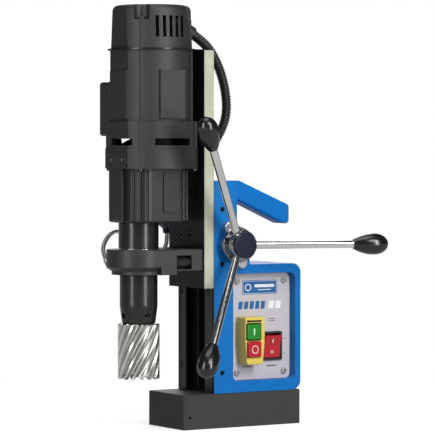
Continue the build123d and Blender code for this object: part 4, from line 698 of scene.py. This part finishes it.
# The camera sees soft shadows on the floor near the object, and an even white past SHADOW_FADE, in
# metres. The object's surfaces see a dim floor, and their reflections a paler one.
floor_far = make_node(floor_tree, "ShaderNodeEmission", [("Strength", 1.0)])
floor_seen = make_node(floor_tree, "ShaderNodeMixShader")
floor_unseen = make_node(floor_tree, "ShaderNodeBsdfDiffuse", [("Color", (0.3, 0.3, 0.3, 1))])
floor_glossy = make_node(floor_tree, "ShaderNodeEmission", [("Strength", FLOOR_IN_GLOSS)])
floor_hidden = make_node(floor_tree, "ShaderNodeMixShader")
floor_mix = make_node(floor_tree, "ShaderNodeMixShader")
floor_reach = make_node(floor_tree, "ShaderNodeVectorMath", operation="LENGTH")
floor_place = make_node(floor_tree, "ShaderNodeTexCoord")
floor_ray = make_node(floor_tree, "ShaderNodeLightPath")
floor_tree.links.new(floor_place.outputs["Object"], floor_reach.inputs[0])
floor_fade = ramp(floor_tree, floor_reach.outputs["Value"], 0.0, 1.0, *SHADOW_FADE)
floor_tree.links.new(floor_fade, floor_seen.inputs[0])
floor_tree.links.new(floor_shader.outputs[0], floor_seen.inputs[1])
floor_tree.links.new(floor_far.outputs[0], floor_seen.inputs[2])
floor_tree.links.new(floor_ray.outputs["Is Camera Ray"], floor_mix.inputs[0])
floor_tree.links.new(floor_ray.outputs["Is Glossy Ray"], floor_hidden.inputs[0])
floor_tree.links.new(floor_unseen.outputs[0], floor_hidden.inputs[1])
floor_tree.links.new(floor_glossy.outputs[0], floor_hidden.inputs[2])
floor_tree.links.new(floor_hidden.outputs[0], floor_mix.inputs[1])
floor_tree.links.new(floor_seen.outputs[0], floor_mix.inputs[2])
floor_tree.links.new(floor_mix.outputs[0], floor_tree.nodes["Material Output"].inputs["Surface"])
floor_mesh.materials.append(floor_mat)

# The camera sees white, surfaces are lit by a low even light, and glossy ones reflect darkness.
SKY_LIGHT, SKY_IN_GLOSS = 0.2, 0.05
world = bpy.data.worlds.new("studio")
bpy.context.scene.world = world
world.use_nodes = True
sky = world.node_tree
background = sky.nodes["Background"]
background.inputs["Color"].default_value = (1, 1, 1, 1)
background.inputs["Strength"].default_value = SKY_LIGHT
plain = make_node(sky, "ShaderNodeBackground", [("Color", (1, 1, 1, 1)), ("Strength", 1.0)])
dim = make_node(
    sky, "ShaderNodeBackground", [("Color", (1, 1, 1, 1)), ("Strength", SKY_IN_GLOSS)])
ray = make_node(sky, "ShaderNodeLightPath")
gloss_mix = make_node(sky, "ShaderNodeMixShader")
sky_mix = make_node(sky, "ShaderNodeMixShader")
sky.links.new(ray.outputs["Is Glossy Ray"], gloss_mix.inputs[0])
sky.links.new(background.outputs[0], gloss_mix.inputs[1])
sky.links.new(dim.outputs[0], gloss_mix.inputs[2])
sky.links.new(ray.outputs["Is Camera Ray"], sky_mix.inputs[0])
sky.links.new(gloss_mix.outputs[0], sky_mix.inputs[1])
sky.links.new(plain.outputs[0], sky_mix.inputs[2])
sky.links.new(sky_mix.outputs[0], sky.nodes["World Output"].inputs["Surface"])

# Each light's place, aim, width and height in metres, and power in watts.
CENTRE = (0.0, -0.03, 0.25)
STRIP_AIM = (0.0, -0.08, 0.5)
area_light("strip_right", (1.55, 0.2, 0.62), STRIP_AIM, 0.15, 1.3, 17)
strip_left = area_light("strip_left", (0.5, -1.6, 0.62), STRIP_AIM, 0.11, 1.3, 12)
strip_left.visible_diffuse = False
area_light("left_fill", (0.6, -1.7, 1.0), CENTRE, 0.8, 0.8, 3)
area_light("key", (1.7, -0.12, 1.5), CENTRE, 0.9, 0.7, 15)
area_light("top", (0.1, -0.25, 2.0), CENTRE, 1.2, 1.2, 12)
area_light("back", (-1.8, 0.9, 1.2), CENTRE, 1.0, 1.4, 14)
